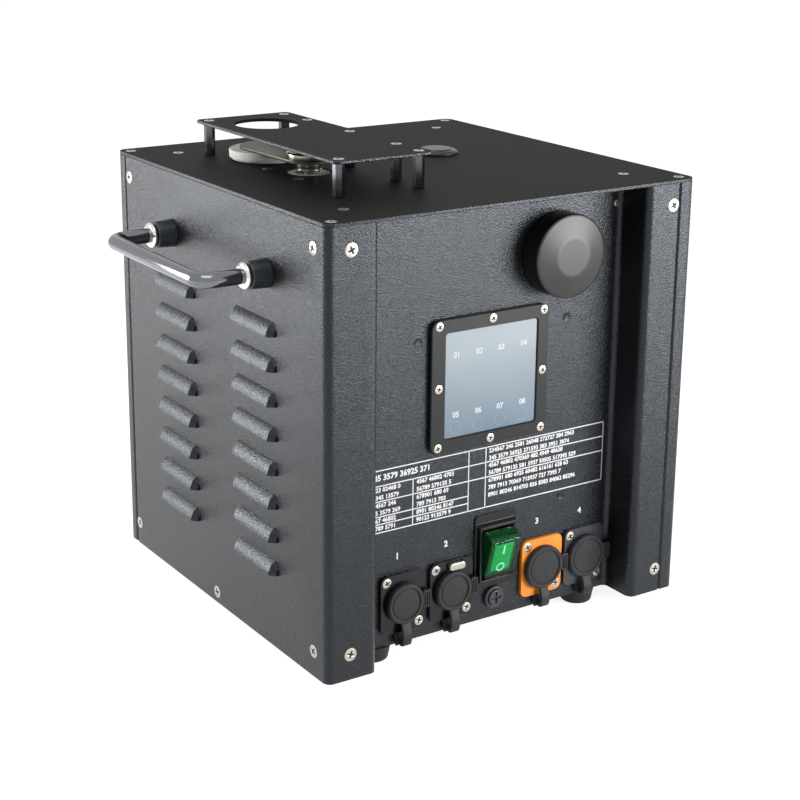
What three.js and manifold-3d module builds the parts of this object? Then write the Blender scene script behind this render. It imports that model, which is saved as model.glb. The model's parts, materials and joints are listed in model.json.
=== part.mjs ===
import * as THREE from 'three';
import { mergeVertices } from 'three/addons/utils/BufferGeometryUtils.js';
import Module from 'manifold-3d';

const wasm = await Module();
wasm.setup();

// Sizes are millimetres. x runs right from the left face, y runs back from the front
// face and z runs up from the underside of the sheet body.
// Across the front, the columns, the socket flanges, the switch plate and the gaps between
// them add up to the width of the body.
const column = { left: 28.3, right: 30.2 };
const flange = { halfWidth: 13, halfHeight: 15.5, thickness: 2, corner: 3.5 };
const row = {
  leftMargin: 13.7, dataGap: 3, switchGap: 1.7, switchHalf: 12.8, powerGap: 3.7, outGap: 2, rightMargin: 3.8,
};
const dataInX = column.left + row.leftMargin + flange.halfWidth;
const dataOutX = dataInX + flange.halfWidth * 2 + row.dataGap;
const switchX = dataOutX + flange.halfWidth + row.switchGap + row.switchHalf;
const powerInX = switchX + row.switchHalf + row.powerGap + flange.halfWidth;
const powerOutX = powerInX + flange.halfWidth * 2 + row.outGap;
const recess = { left: column.left, right: powerOutX + flange.halfWidth + row.rightMargin, depth: 21 };
const body = {
  width: recess.right + column.right,
  depth: 217,
  height: 222,
  sheet: 1.5,
  lid: 2,
  bend: 4.5,
  fit: 0.2,
};
const clear = { hole: 0.3, weld: 0.0001, cut: 1 };
const seam = { strip: 8.6, gap: 2.2, joggle: 1.6, lap: 13.2, bend: 2 };
const tray = { flange: 14.5, frontFlange: 3.5, startLap: 1.7, endLap: 4.2, lapClear: 2, chamfer: 4.2 };
const trayFlangeStart = recess.left + tray.startLap;
const trayFlangeEnd = recess.right + tray.endLap;
const foot = {
  height: 8, top: 9.5, bottom: 8.2, edge: 1.2, bore: 3.5, boreDepth: 4.5, insetX: 43, insetY: 29,
};
const louvre = {
  length: 41.4, height: 7.6, reach: 4, wall: 1.1, pitch: 17.2, topGap: 58.6, lowest: 43,
  frontStart: 46, backStart: 88.4, endRun: 3, lip: 0.8, topWall: 1.6, overlap: 0.5,
  endTopShare: 0.55, endReachShare: 0.3,
  kneeShare: 0.6, kneeDropShare: 0.35,
};
const louvreTopZ = body.height - louvre.topGap;
const louvreRows = Math.round((louvreTopZ - louvre.lowest) / louvre.pitch) + 1;
const louvreColumns = [louvre.frontStart, body.depth - louvre.backStart];
const handle = {
  halfSpan: 49.2, forward: 4.5, topGap: 33.2, reach: 34, rod: 3.8, bend: 8, ringStart: 10.2, ringEnd: 13.2,
  ring: 6.5, ringWaist: 5.6, ferruleBase: 7.2, ferruleTop: 6.6, ferruleLength: 10, bore: 3.95,
};
const handleY = body.depth / 2 - handle.forward;
const handleZ = body.height - handle.topGap;
const handleFront = handleY - handle.halfSpan;
const handleBack = handleY + handle.halfSpan;
const spark = { x: 56.5, fromBack: 62.8, armLength: 43.2 };
const sparkY = body.depth - spark.fromBack;
const hubY = sparkY - spark.armLength;
// The guard plate's reaches are measured from the nozzle's axis.
const guard = {
  leftReach: 26.3, rightReach: 29.5, frontReach: 112, backReach: 30, thickness: 2, corner: 3, lift: 16.6,
  holeRadius: 16.75, holeEdge: 0.6,
};
const guardLeft = spark.x - guard.leftReach;
const guardRight = spark.x + guard.rightReach;
const guardFront = sparkY - guard.frontReach;
const guardBack = sparkY + guard.backReach;
const standoff = {
  acrossFlats: 5.6, bore: 1.5, boreDepth: 6, leftInset: 5, rightInset: 5.8, edgeInset: 4.8, frontInset: 5.5,
  backInset: 6.6, secondY: 26.8, middleY: 69.8, fourthY: 29.7,
};
const standoffPlaces = [
  [guardLeft + standoff.leftInset, guardFront + standoff.frontInset],
  [guardRight - standoff.rightInset, guardFront + standoff.frontInset],
  [guardRight - standoff.edgeInset, guardFront + standoff.secondY],
  [guardRight - standoff.edgeInset, guardFront + standoff.middleY],
  [guardRight - standoff.edgeInset, guardBack - standoff.fourthY],
  [guardRight - standoff.rightInset, guardBack - standoff.backInset],
  [guardLeft + standoff.leftInset, guardBack - standoff.backInset],
];
const hub = {
  radius: 6.5, groove: 0.5, grooveZ: 1.9, grooveHalf: 0.4, foot: 1, lidHole: 11.3, boss: 10.8,
  shaft: 2.5, shaftDepth: 5, shaftClear: 0.05,
};
const arm = { underside: 5.6, thickness: 1.5, plugEnd: 14.2, hubEnd: 12.5 };
const nut = { radius: 11.5, height: 3.2, edge: 0.7, recess: 7.5, recessDepth: 1.6, screw: 3, screwHeight: 1 };
const plug = { radius: 19.7, lift: 0.3, step: 0.9, stepRadius: 18.6, edge: 0.4 };
const servo = {
  halfWidth: 15, frontReach: 23, backReach: 20.5, height: 33, ear: 8, earThickness: 2.5, lip: 0.6, bossTop: 0.5,
};
const servoFront = hubY - servo.frontReach;
const servoBack = hubY + servo.backReach;
const blank = {
  fromRight: 74, fromBack: 95, radius: 11.2, height: 3, step: 8.2, stepDrop: 0.8, edge: 1.2,
  stem: 6.8, stemDepth: 4,
  barb: 7.6, hole: 7, pull: 0.2,
};
const blankX = body.width - blank.fromRight;
const blankY = body.depth - blank.fromBack;
const nozzle = { bore: 11, wall: 2.6, flange: 20, flangeThickness: 3, drop: 20, lidHole: 15, top: 0.3 };
const nozzleBottom = body.height - body.lid - nozzle.drop;
const blower = {
  aside: 27.5, z: 46, frontReach: 17.2, backReach: 16.8, wall: 1.8, small: 29, large: 39,
  tongue: 120, sweep: 300,
  steps: 24, duct: 13, outlet: 86.5, inlet: 18, bossRadius: 11, bossDepth: 10, spindleBore: 1.55,
  legHalf: 20, legWidth: 4, legTop: 16,
};
const blowerX = spark.x + blower.aside;
const blowerFront = sparkY - blower.frontReach;
const blowerBack = sparkY + blower.backReach;
const barrel = { outer: 15, inner: 11 };
const barrelBottom = blower.outlet + clear.hole;
const jacket = {
  outer: 21, inner: 15.3, bottomGap: 35.2, topGap: 4, bands: 3, bandWidth: 6, bandDepth: 0.9,
};
const jacketBottom = barrelBottom + jacket.bottomGap;
const jacketTop = nozzleBottom - jacket.topGap;
const motor = { radius: 13, gearbox: 11.7, length: 23, endGap: 7, can: 11.5, shaftBore: 2.05, boreDepth: 6 };
const motorEnd = body.width - motor.endGap;
const motorStep = motorEnd - motor.length;
const motorStart = motorStep - motor.gearbox;
const feed = {
  z: 100, outer: 13, bore: 10.4, overlap: 1.5, flange: 16, flangeThickness: 3, saddle: 15.4,
  inletHalf: 11.5, inletBore: 8.6,
};
const feedStart = spark.x + feed.overlap;
const feedEnd = motorStart - clear.hole;
const auger = {
  shaft: 3, blade: 9.8, thickness: 1.6, pitch: 14, startGap: 19.5, endGap: 3, turnSteps: 8, spindle: 2,
  spindleReach: 3.7,
};
const augerStart = spark.x + auger.startGap;
const augerEnd = feedEnd - auger.endGap;
const spindleEnd = motorStart + auger.spindleReach;
const hopper = {
  width: 66, rightGap: 38, front: 62, backGap: 35, topGap: 12, shoulderShare: 0.6354, wall: 1.4,
  outletHalf: 9, outletLift: 0.4, corner: 5,
};
const hopperRight = body.width - hopper.rightGap;
const hopperLeft = hopperRight - hopper.width;
const hopperBack = body.depth - hopper.backGap;
const hopperTop = body.height - body.lid - hopper.topGap;
const outletX = (hopperLeft + hopperRight) / 2;
const outletZ = feed.z + feed.outer + hopper.outletLift;
const filler = {
  topGap: 34, radius: 21.2, protrusion: 14, edge: 3.2, dish: 0.8, dishShare: 0.8, wall: 3.4,
  cavity: 17.3, neck: 17, neckBore: 14.6, neckFront: 10, neckFlange: 21, neckFlangeThickness: 2,
  neckReach: 5,
};
const fillerZ = body.height - filler.topGap;
const neckEnd = hopper.front + filler.neckReach;
const shoulderZ = outletZ + hopper.shoulderShare * (fillerZ - filler.neck - outletZ);
const impeller = {
  outer: 22.5, inner: 16.5, disc: 2, discGap: 14, length: 15, blades: 12, bladeThickness: 1.4, ring: 1.6,
  spindle: 1.5, spindleGap: 5, eye: 5, eyeDepth: 2,
};
const discY = blowerFront + impeller.discGap;
const spindleStart = blowerFront + impeller.spindleGap;
const fan = {
  x: 62, z: 72, half: 40, depth: 20, wall: 0.3, bore: 37.5, corner: 4, motorRadius: 16, motorDepth: 3,
  strutHalf: 2, hub: 15, hubDepth: 14, blade: 36, blades: 7, bladeThickness: 1.6, bladeHalf: 5.5,
  bladeRoot: 13, pitchDegrees: 38, chord: 15, spindle: 1.5, spindleClear: 0.05, screw: 2.2,
};
const grille = { slotHalf: 1.6, pitch: 7.2, radius: 36, slots: 4 };
const supply = {
  fromBlower: 38, rightGap: 8, front: 66, backGap: 27, top: 48, wall: 1.5, slotPitch: 13,
  slotHalf: 1.6, slotInset: 12, terminal: 12, terminalHeight: 14,
};
const supplyLeft = blowerX + supply.fromBlower;
const supplyRight = body.width - supply.rightGap;
const supplyBack = body.depth - supply.backGap;
const supplySlotRows = Math.floor((supplyBack - supply.front - supply.slotInset * 2) / supply.slotPitch) + 1;
const bezel = { leftward: 6.8, halfWidth: 35.3, height: 67.8, topGap: 58.5, thickness: 2.6, corner: 5 };
const bezelLeft = switchX - bezel.leftward - bezel.halfWidth;
const bezelRight = switchX - bezel.leftward + bezel.halfWidth;
const bezelTop = body.height - bezel.topGap;
const bezelBottom = bezelTop - bezel.height;
const board = {
  leftReach: 10.4, rightReach: 17, bottomReach: 1.7, topInset: 3.5, gap: 3.3, thickness: 1.6, post: 3.2,
  inset: 4.3, postBore: 1.6, corner: 2,
  parts: [[11, 25, 6, 20, 5], [36, 53, 10, 24, 3], [63, 91, 4, 16, 8], [13, 41, 40, 46, 6],
    [53, 61, 34, 52, 9], [71, 87, 36, 50, 4]],
};
const boardLeft = bezelLeft - board.leftReach;
const boardRight = bezelRight + board.rightReach;
const boardBottom = bezelBottom - board.bottomReach;
const boardTop = bezelTop - board.topInset;
const boardFront = recess.depth + body.sheet + board.gap;
const glass = {
  leftInset: 8.4, rightInset: 6.8, bottomInset: 7, topInset: 7.1, corner: 1.5, front: 1.7, clear: 0.15,
};
const glassLeft = bezelLeft + glass.leftInset;
const glassRight = bezelRight - glass.rightInset;
const glassBottom = bezelBottom + glass.bottomInset;
const glassTop = bezelTop - glass.topInset;
const glassBack = boardFront - body.fit;
const data = { ring: 9.2, ringHeight: 1.6, mouth: 7.9, body: 11.7, depth: 26, floor: 21, cap: 10.5, z: 22.3 };
const power = { ring: 10.2, ringHeight: 1.6, mouth: 8.8, body: 11.9, depth: 30, floor: 24, cap: 11.6, z: 22 };
const tabs = { dataIn: 4.6, dataOut: 4.0, powerIn: 3.9, powerOut: 4.4 };
const sockets = [
  { name: 'dmx_in', x: dataInX, kind: data, tab: tabs.dataIn, male: true },
  { name: 'dmx_out', x: dataOutX, kind: data, tab: tabs.dataOut, male: false },
  { name: 'power_in', x: powerInX, kind: power, tab: tabs.powerIn, male: true },
  { name: 'power_out', x: powerOutX, kind: power, tab: tabs.powerOut, male: false },
];
const pins = {
  count: 3, radius: 1.2, circle: 4.4, length: 14, insertRadius: 6.4, insertLift: 3, hole: 1.5, holeDepth: 12,
};
const cap = {
  crown: 3.9, skirtGap: 0.25, wall: 0.25, lid: 1.5, edge: 0.6, groove: 0.5, grooveIn: 2.2, grooveWidth: 0.6,
  tabHalf: 4.6, tabFront: 0.5, tabThickness: 1.9, rib: 0.5, strapHalf: 2.6, strap: 1.5,
  bulge: 0.6, hingeY: 17.2, hingeZ: 1.2, knuckle: 1.2, holeRadius: 12.2,
};
const tongue = { halfWidth: 4.4, thickness: 1.4, gap: 0.3, root: 1 };
const latch = {
  aside: 2, z: 35.2, halfWidth: 4.7, halfHeight: 1.9, front: 16.4, back: 21.2,
  clear: 0.25, travel: 2, corner: 1.6,
};
const latchX = dataOutX + latch.aside;
const rocker = {
  plateZ: 37.5, plateHalfHeight: 19.8, plate: 1, plateCorner: 2,
  frameBaseHalf: 12.2, frameHalf: 11.1, frameFront: 3.5, frameTop: 53.3, frameBottom: 21.2, frameInset: 1.5,
  y: 19.5, z: 36.5, openHalfWidth: 9.8, openHalfHeight: 13.8, bodyHalfWidth: 11, bodyHalfHeight: 15,
  bodyBack: 47, cavityBack: 35, tiltDegrees: 16, capRadius: 13.6, capFace: 7.2, capHalf: 9.6, capWall: 1.4,
  capBack: 1, chamfer: 1.3, coreClear: 0.05, coreBack: 3, pad: 0.7, padInset: 2.4,
  terminal: 3, terminalThickness: 0.8, terminalLength: 8,
};
const fuse = {
  aside: 0.2, z: 11.4, ring: 5.9, ringHeight: 2.2, body: 5.1, bodyLength: 24, seat: 4.6, seatDepth: 1.2,
  bore: 3.3,
  boreDepth: 20, knob: 4.4, knobFront: 3.4, stem: 3.1, stemLength: 16, slotHalf: 0.55, slotReach: 3.2,
  slotDepth: 1.2, edge: 0.5, clear: 0.2,
};
const fuseX = switchX - fuse.aside;
const rounds = { fine: 36, plain: 20, hidden: 16, coarse: 12, corner: 4, bend: 6 };

const interiorBack = body.depth - body.sheet;
const lidUnder = body.height - body.lid;
const panelFront = recess.depth;
const panelBack = recess.depth + body.sheet;

// Basic solids.
const solid = (geometry) => {
  const loose = geometry.index ? geometry.toNonIndexed() : geometry.clone();
  loose.deleteAttribute('normal');
  loose.deleteAttribute('uv');
  const welded = mergeVertices(loose, clear.weld);
  const place = welded.attributes.position;
  const source = welded.index.array;
  const a = new THREE.Vector3();
  const b = new THREE.Vector3();
  const c = new THREE.Vector3();
  const faces = [];
  let volume = 0;
  for (let i = 0; i < source.length; i += 3) {
    const [p, q, r] = [source[i], source[i + 1], source[i + 2]];
    if (p === q || q === r || r === p) continue;
    faces.push([p, q, r]);
    a.fromBufferAttribute(place, p);
    b.fromBufferAttribute(place, q);
    c.fromBufferAttribute(place, r);
    volume += a.dot(b.cross(c));
  }
  const order = volume < 0 ? faces.map(([p, q, r]) => [p, r, q]) : faces;
  return new wasm.Manifold(new wasm.Mesh({
    numProp: 3,
    vertProperties: new Float32Array(place.array),
    triVerts: new Uint32Array(order.flat()),
  }));
};

const box = (x0, x1, y0, y1, z0, z1) => {
  const block = new THREE.BoxGeometry(x1 - x0, y1 - y0, z1 - z0);
  block.translate((x0 + x1) / 2, (y0 + y1) / 2, (z0 + z1) / 2);
  return solid(block);
};

// An outline in the plane across an axis, pushed along that axis.
const prism = (points, axis, from, to) => {
  const shape = new THREE.Shape(points.map(([u, v]) => new THREE.Vector2(u, v)));
  const block = new THREE.ExtrudeGeometry(shape, { depth: to - from, steps: 1, bevelEnabled: false });
  const frame = new THREE.Matrix4();
  const [x, y, z] = [new THREE.Vector3(1, 0, 0), new THREE.Vector3(0, 1, 0), new THREE.Vector3(0, 0, 1)];
  if (axis === 'x') frame.makeBasis(y, z, x).setPosition(from, 0, 0);
  if (axis === 'y') frame.makeBasis(x, z, y.clone().negate()).setPosition(0, to, 0);
  if (axis === 'z') frame.setPosition(0, 0, from);
  return solid(block.applyMatrix4(frame));
};

// A profile of [radius, distance along the axis] turned about that axis.
const turned = (profile, axis, centre, segments) => {
  const lathe = new THREE.LatheGeometry(profile.map(([r, h]) => new THREE.Vector2(r, h)), segments);
  const frame = new THREE.Matrix4();
  const [x, y, z] = [new THREE.Vector3(1, 0, 0), new THREE.Vector3(0, 1, 0), new THREE.Vector3(0, 0, 1)];
  if (axis === 'x') frame.makeBasis(y, x, z.clone().negate());
  if (axis === 'z') frame.makeBasis(x, z, y.clone().negate());
  frame.setPosition(...centre);
  return solid(lathe.applyMatrix4(frame));
};

const rod = (radius, from, to, axis, centre, segments) => (
  turned([[0, from], [radius, from], [radius, to], [0, to]], axis, centre, segments));

const tube = (outer, inner, from, to, axis, centre, segments) => (
  turned([[inner, from], [outer, from], [outer, to], [inner, to], [inner, from]], axis, centre, segments));

// Equal rings of points skinned in order and closed at both ends.
const loft = (rings) => {
  const count = rings[0].length;
  const corner = [];
  const put = (p, q, r) => corner.push(...p, ...q, ...r);
  for (let i = 0; i < rings.length - 1; i += 1) {
    for (let j = 0; j < count; j += 1) {
      const k = (j + 1) % count;
      put(rings[i][j], rings[i][k], rings[i + 1][k]);
      put(rings[i][j], rings[i + 1][k], rings[i + 1][j]);
    }
  }
  const last = rings[rings.length - 1];
  for (let j = 1; j < count - 1; j += 1) {
    put(rings[0][0], rings[0][j + 1], rings[0][j]);
    put(last[0], last[j], last[j + 1]);
  }
  const skin = new THREE.BufferGeometry();
  skin.setAttribute('position', new THREE.BufferAttribute(new Float32Array(corner), 3));
  return solid(skin);
};

const join = (...parts) => parts.flat().reduce((sum, part) => sum.add(part));
const cut = (base, ...tools) => tools.flat().reduce((left, tool) => left.subtract(tool), base);

const roundedBox = (u0, u1, v0, v1, radius) => {
  const points = [];
  const corners = [[u1 - radius, v0 + radius], [u1 - radius, v1 - radius],
    [u0 + radius, v1 - radius], [u0 + radius, v0 + radius]];
  corners.forEach(([u, v], quarter) => {
    for (let i = 0; i <= rounds.corner; i += 1) {
      const angle = (Math.PI / 2) * (quarter - 1 + i / rounds.corner);
      points.push([u + radius * Math.cos(angle), v + radius * Math.sin(angle)]);
    }
  });
  return points;
};

// Plan outline of a folded sheet: the path is its outer face and the body lies to the left.
const foldedSheet = (path) => {
  const outer = [];
  const inner = [];
  const direction = (p, q) => new THREE.Vector2(q[0] - p[0], q[1] - p[1]).normalize();
  const leftOf = (d) => new THREE.Vector2(-d.y, d.x);
  const put = (list, point) => list.push([point.x, point.y]);
  path.forEach((vertex, i) => {
    const here = new THREE.Vector2(vertex[0], vertex[1]);
    if (i === 0 || i === path.length - 1) {
      const side = leftOf(i === 0 ? direction(path[0], path[1]) : direction(path[i - 1], path[i]));
      put(outer, here);
      put(inner, here.clone().addScaledVector(side, body.sheet));
      return;
    }
    const arrive = direction(path[i - 1], vertex);
    const leave = direction(vertex, path[i + 1]);
    const side = leftOf(arrive);
    const turn = Math.atan2(arrive.cross(leave), arrive.dot(leave));
    const way = Math.sign(turn);
    const bend = vertex[2] ?? body.bend;
    const radius = way > 0 ? bend : bend - body.sheet;
    const centre = here.clone()
      .addScaledVector(arrive, -radius * Math.tan(Math.abs(turn) / 2))
      .addScaledVector(side, way * radius);
    for (let k = 0; k <= rounds.bend; k += 1) {
      const angle = (turn * k) / rounds.bend;
      const spoke = side.clone().multiplyScalar(-way).rotateAround(new THREE.Vector2(), angle);
      put(outer, centre.clone().addScaledVector(spoke, radius));
      put(inner, centre.clone().addScaledVector(spoke, radius - way * body.sheet));
    }
  });
  return outer.concat(inner.reverse());
};

const root = new THREE.Group();
root.name = 'cold_spark_machine';
const add = (name, shape, color, metalness, roughness, opacity = 1) => {
  const mesh = shape.getMesh();
  const geometry = new THREE.BufferGeometry();
  geometry.setAttribute('position', new THREE.BufferAttribute(new Float32Array(mesh.vertProperties), 3));
  geometry.setIndex(new THREE.BufferAttribute(new Uint32Array(mesh.triVerts), 1));
  geometry.translate(-body.width / 2, -body.depth / 2, foot.height);
  geometry.computeVertexNormals();
  const material = new THREE.MeshStandardMaterial({
    color, metalness, roughness, flatShading: true, opacity, transparent: opacity < 1,
  });
  const node = new THREE.Mesh(geometry, material);
  node.name = name;
  root.add(node);
};

// Hooded louvres pressed out of a side sheet; side is -1 on the left and 1 on the right.
const louvreRing = (y, middle, side, wallX, reachShare, topShare, hollow) => {
  const half = louvre.height / 2;
  const bottom = hollow ? middle - half - louvre.overlap : middle - half;
  const top = middle - half + louvre.height * topShare - (hollow ? louvre.topWall : 0);
  const reach = (louvre.reach - (hollow ? louvre.wall : 0)) * reachShare;
  const inside = wallX - side * (hollow ? body.sheet + louvre.overlap : body.sheet / 2);
  const knee = top - (top - bottom) * louvre.kneeDropShare;
  return [
    [inside, y, top],
    [wallX + side * reach * louvre.kneeShare, y, knee],
    [wallX + side * reach, y, bottom + louvre.lip],
    [wallX + side * reach, y, bottom],
    [inside, y, bottom],
  ];
};
const louvreSolid = (start, middle, side, hollow) => {
  const wallX = side < 0 ? 0 : body.width;
  const inset = hollow ? louvre.wall : 0;
  const first = start + inset;
  const last = start + louvre.length - inset;
  const stations = [
    [first, louvre.endReachShare, louvre.endTopShare],
    [first + louvre.endRun, 1, 1],
    [last - louvre.endRun, 1, 1],
    [last, louvre.endReachShare, louvre.endTopShare],
  ];
  return loft(stations.map(([y, reachShare, topShare]) => (
    louvreRing(y, middle, side, wallX, reachShare, topShare, hollow))));
};
const pressLouvres = (sheet, side) => {
  let pressed = sheet;
  louvreColumns.forEach((start) => {
    for (let row = 0; row < louvreRows; row += 1) {
      const middle = louvreTopZ - row * louvre.pitch;
      pressed = pressed.add(louvreSolid(start, middle, side, false));
      pressed = pressed.subtract(louvreSolid(start, middle, side, true));
    }
  });
  return pressed;
};

// Left side, both front columns and the sunk control panel are one folded sheet.
const lapFace = body.sheet + body.fit;
const frontSheet = prism(foldedSheet([
  [0, body.depth - seam.strip - seam.gap],
  [0, 0],
  [recess.left, 0],
  [recess.left, recess.depth],
  [recess.right, recess.depth],
  [recess.right, 0],
  [body.width - seam.strip - seam.gap, 0],
]), 'z', 0, lidUnder);
const throughPanel = [panelFront - clear.cut, panelBack + clear.cut];
const panelHole = (x, z, radius) => rod(radius, ...throughPanel, 'y', [x, 0, z], rounds.plain);
const panelWindow = (x0, x1, z0, z1) => box(x0, x1, ...throughPanel, z0, z1);
const panelCuts = [
  panelHole(outletX, fillerZ, filler.neck + clear.hole),
  panelWindow(glassLeft - clear.hole, glassRight + clear.hole, glassBottom - clear.hole,
    glassTop + clear.hole),
  ...sockets.map(({ x, kind }) => panelHole(x, kind.z, kind.body + clear.hole)),
  panelWindow(switchX - rocker.bodyHalfWidth - clear.hole, switchX + rocker.bodyHalfWidth + clear.hole,
    rocker.z - rocker.bodyHalfHeight - clear.hole, rocker.z + rocker.bodyHalfHeight + clear.hole),
  panelHole(fuseX, fuse.z, fuse.body + clear.hole),
  panelWindow(latchX - latch.halfWidth - clear.hole, latchX + latch.halfWidth + clear.hole,
    data.z, latch.z + latch.halfHeight + clear.hole),
];
add('front_left_wrap', cut(pressLouvres(frontSheet, -1), panelCuts), 0x2b2c2f, 0.1, 0.7);

// Right side and back are the second folded sheet, joggled behind the first at both seams.
const backSheet = prism(foldedSheet([
  [body.width - seam.strip - seam.joggle - seam.lap, lapFace],
  [body.width - seam.strip - seam.joggle, lapFace, seam.bend],
  [body.width - seam.strip, 0, seam.bend],
  [body.width, 0],
  [body.width, body.depth],
  [0, body.depth],
  [0, body.depth - seam.strip, seam.bend],
  [lapFace, body.depth - seam.strip - seam.joggle, seam.bend],
  [lapFace, body.depth - seam.strip - seam.joggle - seam.lap],
]), 'z', 0, lidUnder);
const grilleCuts = [];
for (let i = -grille.slots; i <= grille.slots; i += 1) {
  const reach = Math.sqrt(grille.radius ** 2 - (i * grille.pitch) ** 2);
  const x = fan.x + i * grille.pitch;
  grilleCuts.push(prism(
    roundedBox(x - grille.slotHalf, x + grille.slotHalf, fan.z - reach, fan.z + reach, grille.slotHalf),
    'y', interiorBack - clear.cut, body.depth + clear.cut));
}
add('back_right_wrap', cut(pressLouvres(backSheet, 1), grilleCuts), 0x2b2c2f, 0.1, 0.7);

// Lid and floor.
const lid = prism(roundedBox(0, body.width, 0, body.depth, body.bend), 'z', lidUnder, body.height);
const throughLid = [lidUnder - clear.cut, body.height + clear.cut];
add('top_plate', cut(lid,
  rod(hub.lidHole, ...throughLid, 'z', [spark.x, hubY, 0], rounds.plain),
  rod(nozzle.lidHole, ...throughLid, 'z', [spark.x, sparkY, 0], rounds.plain),
  rod(blank.hole, ...throughLid, 'z', [blankX, blankY, 0], rounds.hidden)), 0x2a2b2d, 0.1, 0.65);

const reach = body.sheet + clear.hole;
const trayLeft = reach;
const trayRight = body.width - reach;
const trayBack = body.depth - reach;
const trayFront = panelBack + clear.hole;
const lapInside = lapFace + body.sheet + clear.hole;
const columnLeft = recess.left - reach;
const columnRight = recess.right + reach;
const lapStart = body.depth - seam.strip - seam.joggle - seam.lap - clear.hole;
const floorPlate = prism([
  [trayLeft, body.bend],
  [body.bend, lapInside],
  [columnLeft, lapInside],
  [columnLeft, trayFront],
  [columnRight, trayFront],
  [columnRight, lapInside],
  [trayRight, lapInside],
  [trayRight, trayBack - tray.chamfer],
  [trayRight - tray.chamfer, trayBack],
  [lapInside + tray.lapClear, trayBack],
  [lapInside, trayBack - tray.chamfer],
  [lapInside, lapStart],
  [trayLeft, lapStart],
], 'z', 0, body.sheet);
const flangeTop = body.sheet + tray.flange;
add('bottom_tray', join(
  floorPlate,
  box(trayLeft, trayLeft + body.sheet, trayFlangeStart, trayFlangeEnd, 0, flangeTop),
  box(trayRight - body.sheet, trayRight, trayFlangeStart, trayFlangeEnd, 0, flangeTop),
  box(trayFlangeStart, trayFlangeEnd, trayBack - body.sheet, trayBack, 0, flangeTop),
  box(trayFlangeStart, columnRight - body.bend, trayFront, trayFront + body.sheet, 0,
    body.sheet + tray.frontFlange),
), 0x2a2b2d, 0.1, 0.7);

const footPlaces = [
  ['front_left_foot', foot.insetX, foot.insetY],
  ['front_right_foot', body.width - foot.insetX, foot.insetY],
  ['back_left_foot', foot.insetX, body.depth - foot.insetY],
  ['back_right_foot', body.width - foot.insetX, body.depth - foot.insetY],
];
footPlaces.forEach(([name, x, y]) => {
  add(name, turned([
    [0, foot.boreDepth - foot.height],
    [foot.bore, foot.boreDepth - foot.height],
    [foot.bore, -foot.height],
    [foot.bottom - foot.edge, -foot.height],
    [foot.bottom, foot.edge - foot.height],
    [foot.top, 0],
    [0, 0],
  ], 'z', [x, y, 0], rounds.plain), 0x1c1c1b, 0, 0.85);
});

// Carrying handles: a bent rod with a ring near each end, and a collar over each end.
const handleRod = (side) => {
  const wallX = side < 0 ? 0 : body.width;
  const straight = handle.reach - handle.bend;
  const ringAt = (x, y, swept) => {
    const heading = THREE.MathUtils.degToRad(90 - side * (90 - swept));
    return Array.from({ length: rounds.coarse }, (_, i) => {
      const angle = (2 * Math.PI * i) / rounds.coarse;
      const across = handle.rod * Math.cos(angle);
      return [
        wallX + x - across * Math.sin(heading),
        y + across * Math.cos(heading),
        handleZ + handle.rod * Math.sin(angle),
      ];
    });
  };
  const rings = [ringAt(0, handleFront, 0)];
  [[0, handleFront, 1], [90, handleBack, -1]].forEach(([from, legY, way]) => {
    for (let i = 0; i <= rounds.bend; i += 1) {
      const degrees = from + (90 * i) / rounds.bend;
      const angle = THREE.MathUtils.degToRad(degrees);
      const out = straight + handle.bend * Math.sin(angle);
      const along = way * handle.bend * (1 - way * Math.cos(angle));
      rings.push(ringAt(side * out, legY + along, degrees));
    }
  });
  rings.push(ringAt(0, handleBack, 180));
  const collars = [handleFront, handleBack].map((y) => {
    const [near, far] = [handle.ringStart, handle.ringEnd]
      .map((rise) => wallX + side * rise)
      .sort((p, q) => p - q);
    return turned([
      [0, near],
      [handle.ringWaist, near],
      [handle.ring, (near + far) / 2],
      [handle.ringWaist, far],
      [0, far],
    ], 'x', [0, y, handleZ], rounds.hidden);
  });
  return join(loft(rings), collars);
};
const ferrule = (side, y) => {
  const wallX = side < 0 ? 0 : body.width;
  return turned([
    [handle.bore, 0],
    [handle.ferruleBase, 0],
    [handle.ferruleTop, side * handle.ferruleLength],
    [handle.bore, side * handle.ferruleLength],
    [handle.bore, 0],
  ], 'x', [wallX, y, handleZ], rounds.hidden);
};
[['left', -1], ['right', 1]].forEach(([word, side]) => {
  add(`${word}_handle_bar`, handleRod(side), 0xc9cacd, 1, 0.15);
  add(`${word}_handle_front_collar`, ferrule(side, handleFront), 0x1d1e20, 0, 0.35);
  add(`${word}_handle_back_collar`, ferrule(side, handleBack), 0x1d1e20, 0, 0.35);
});

// Spark guard over the nozzle.
const guardUnder = body.height + guard.lift;
add('guard_plate', cut(
  prism(roundedBox(guardLeft, guardRight, guardFront, guardBack, guard.corner), 'z',
    guardUnder, guardUnder + guard.thickness),
  rod(guard.holeRadius, guardUnder - clear.cut, guardUnder + guard.thickness + clear.cut, 'z',
    [spark.x, sparkY, 0], rounds.fine),
), 0x2a2b2d, 0.1, 0.65);
const hexagon = (x, y, acrossFlats) => Array.from({ length: 6 }, (_, i) => {
  const angle = (Math.PI / 3) * i;
  const radius = acrossFlats / Math.sqrt(3);
  return [x + radius * Math.cos(angle), y + radius * Math.sin(angle)];
});
standoffPlaces.forEach(([x, y], i) => {
  add(`guard_standoff_${i + 1}`, cut(
    prism(hexagon(x, y, standoff.acrossFlats), 'z', body.height, guardUnder),
    rod(standoff.bore, guardUnder - standoff.boreDepth, guardUnder + clear.cut, 'z', [x, y, 0],
      rounds.corner * 2),
  ), 0x202124, 0.6, 0.3);
});

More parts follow.
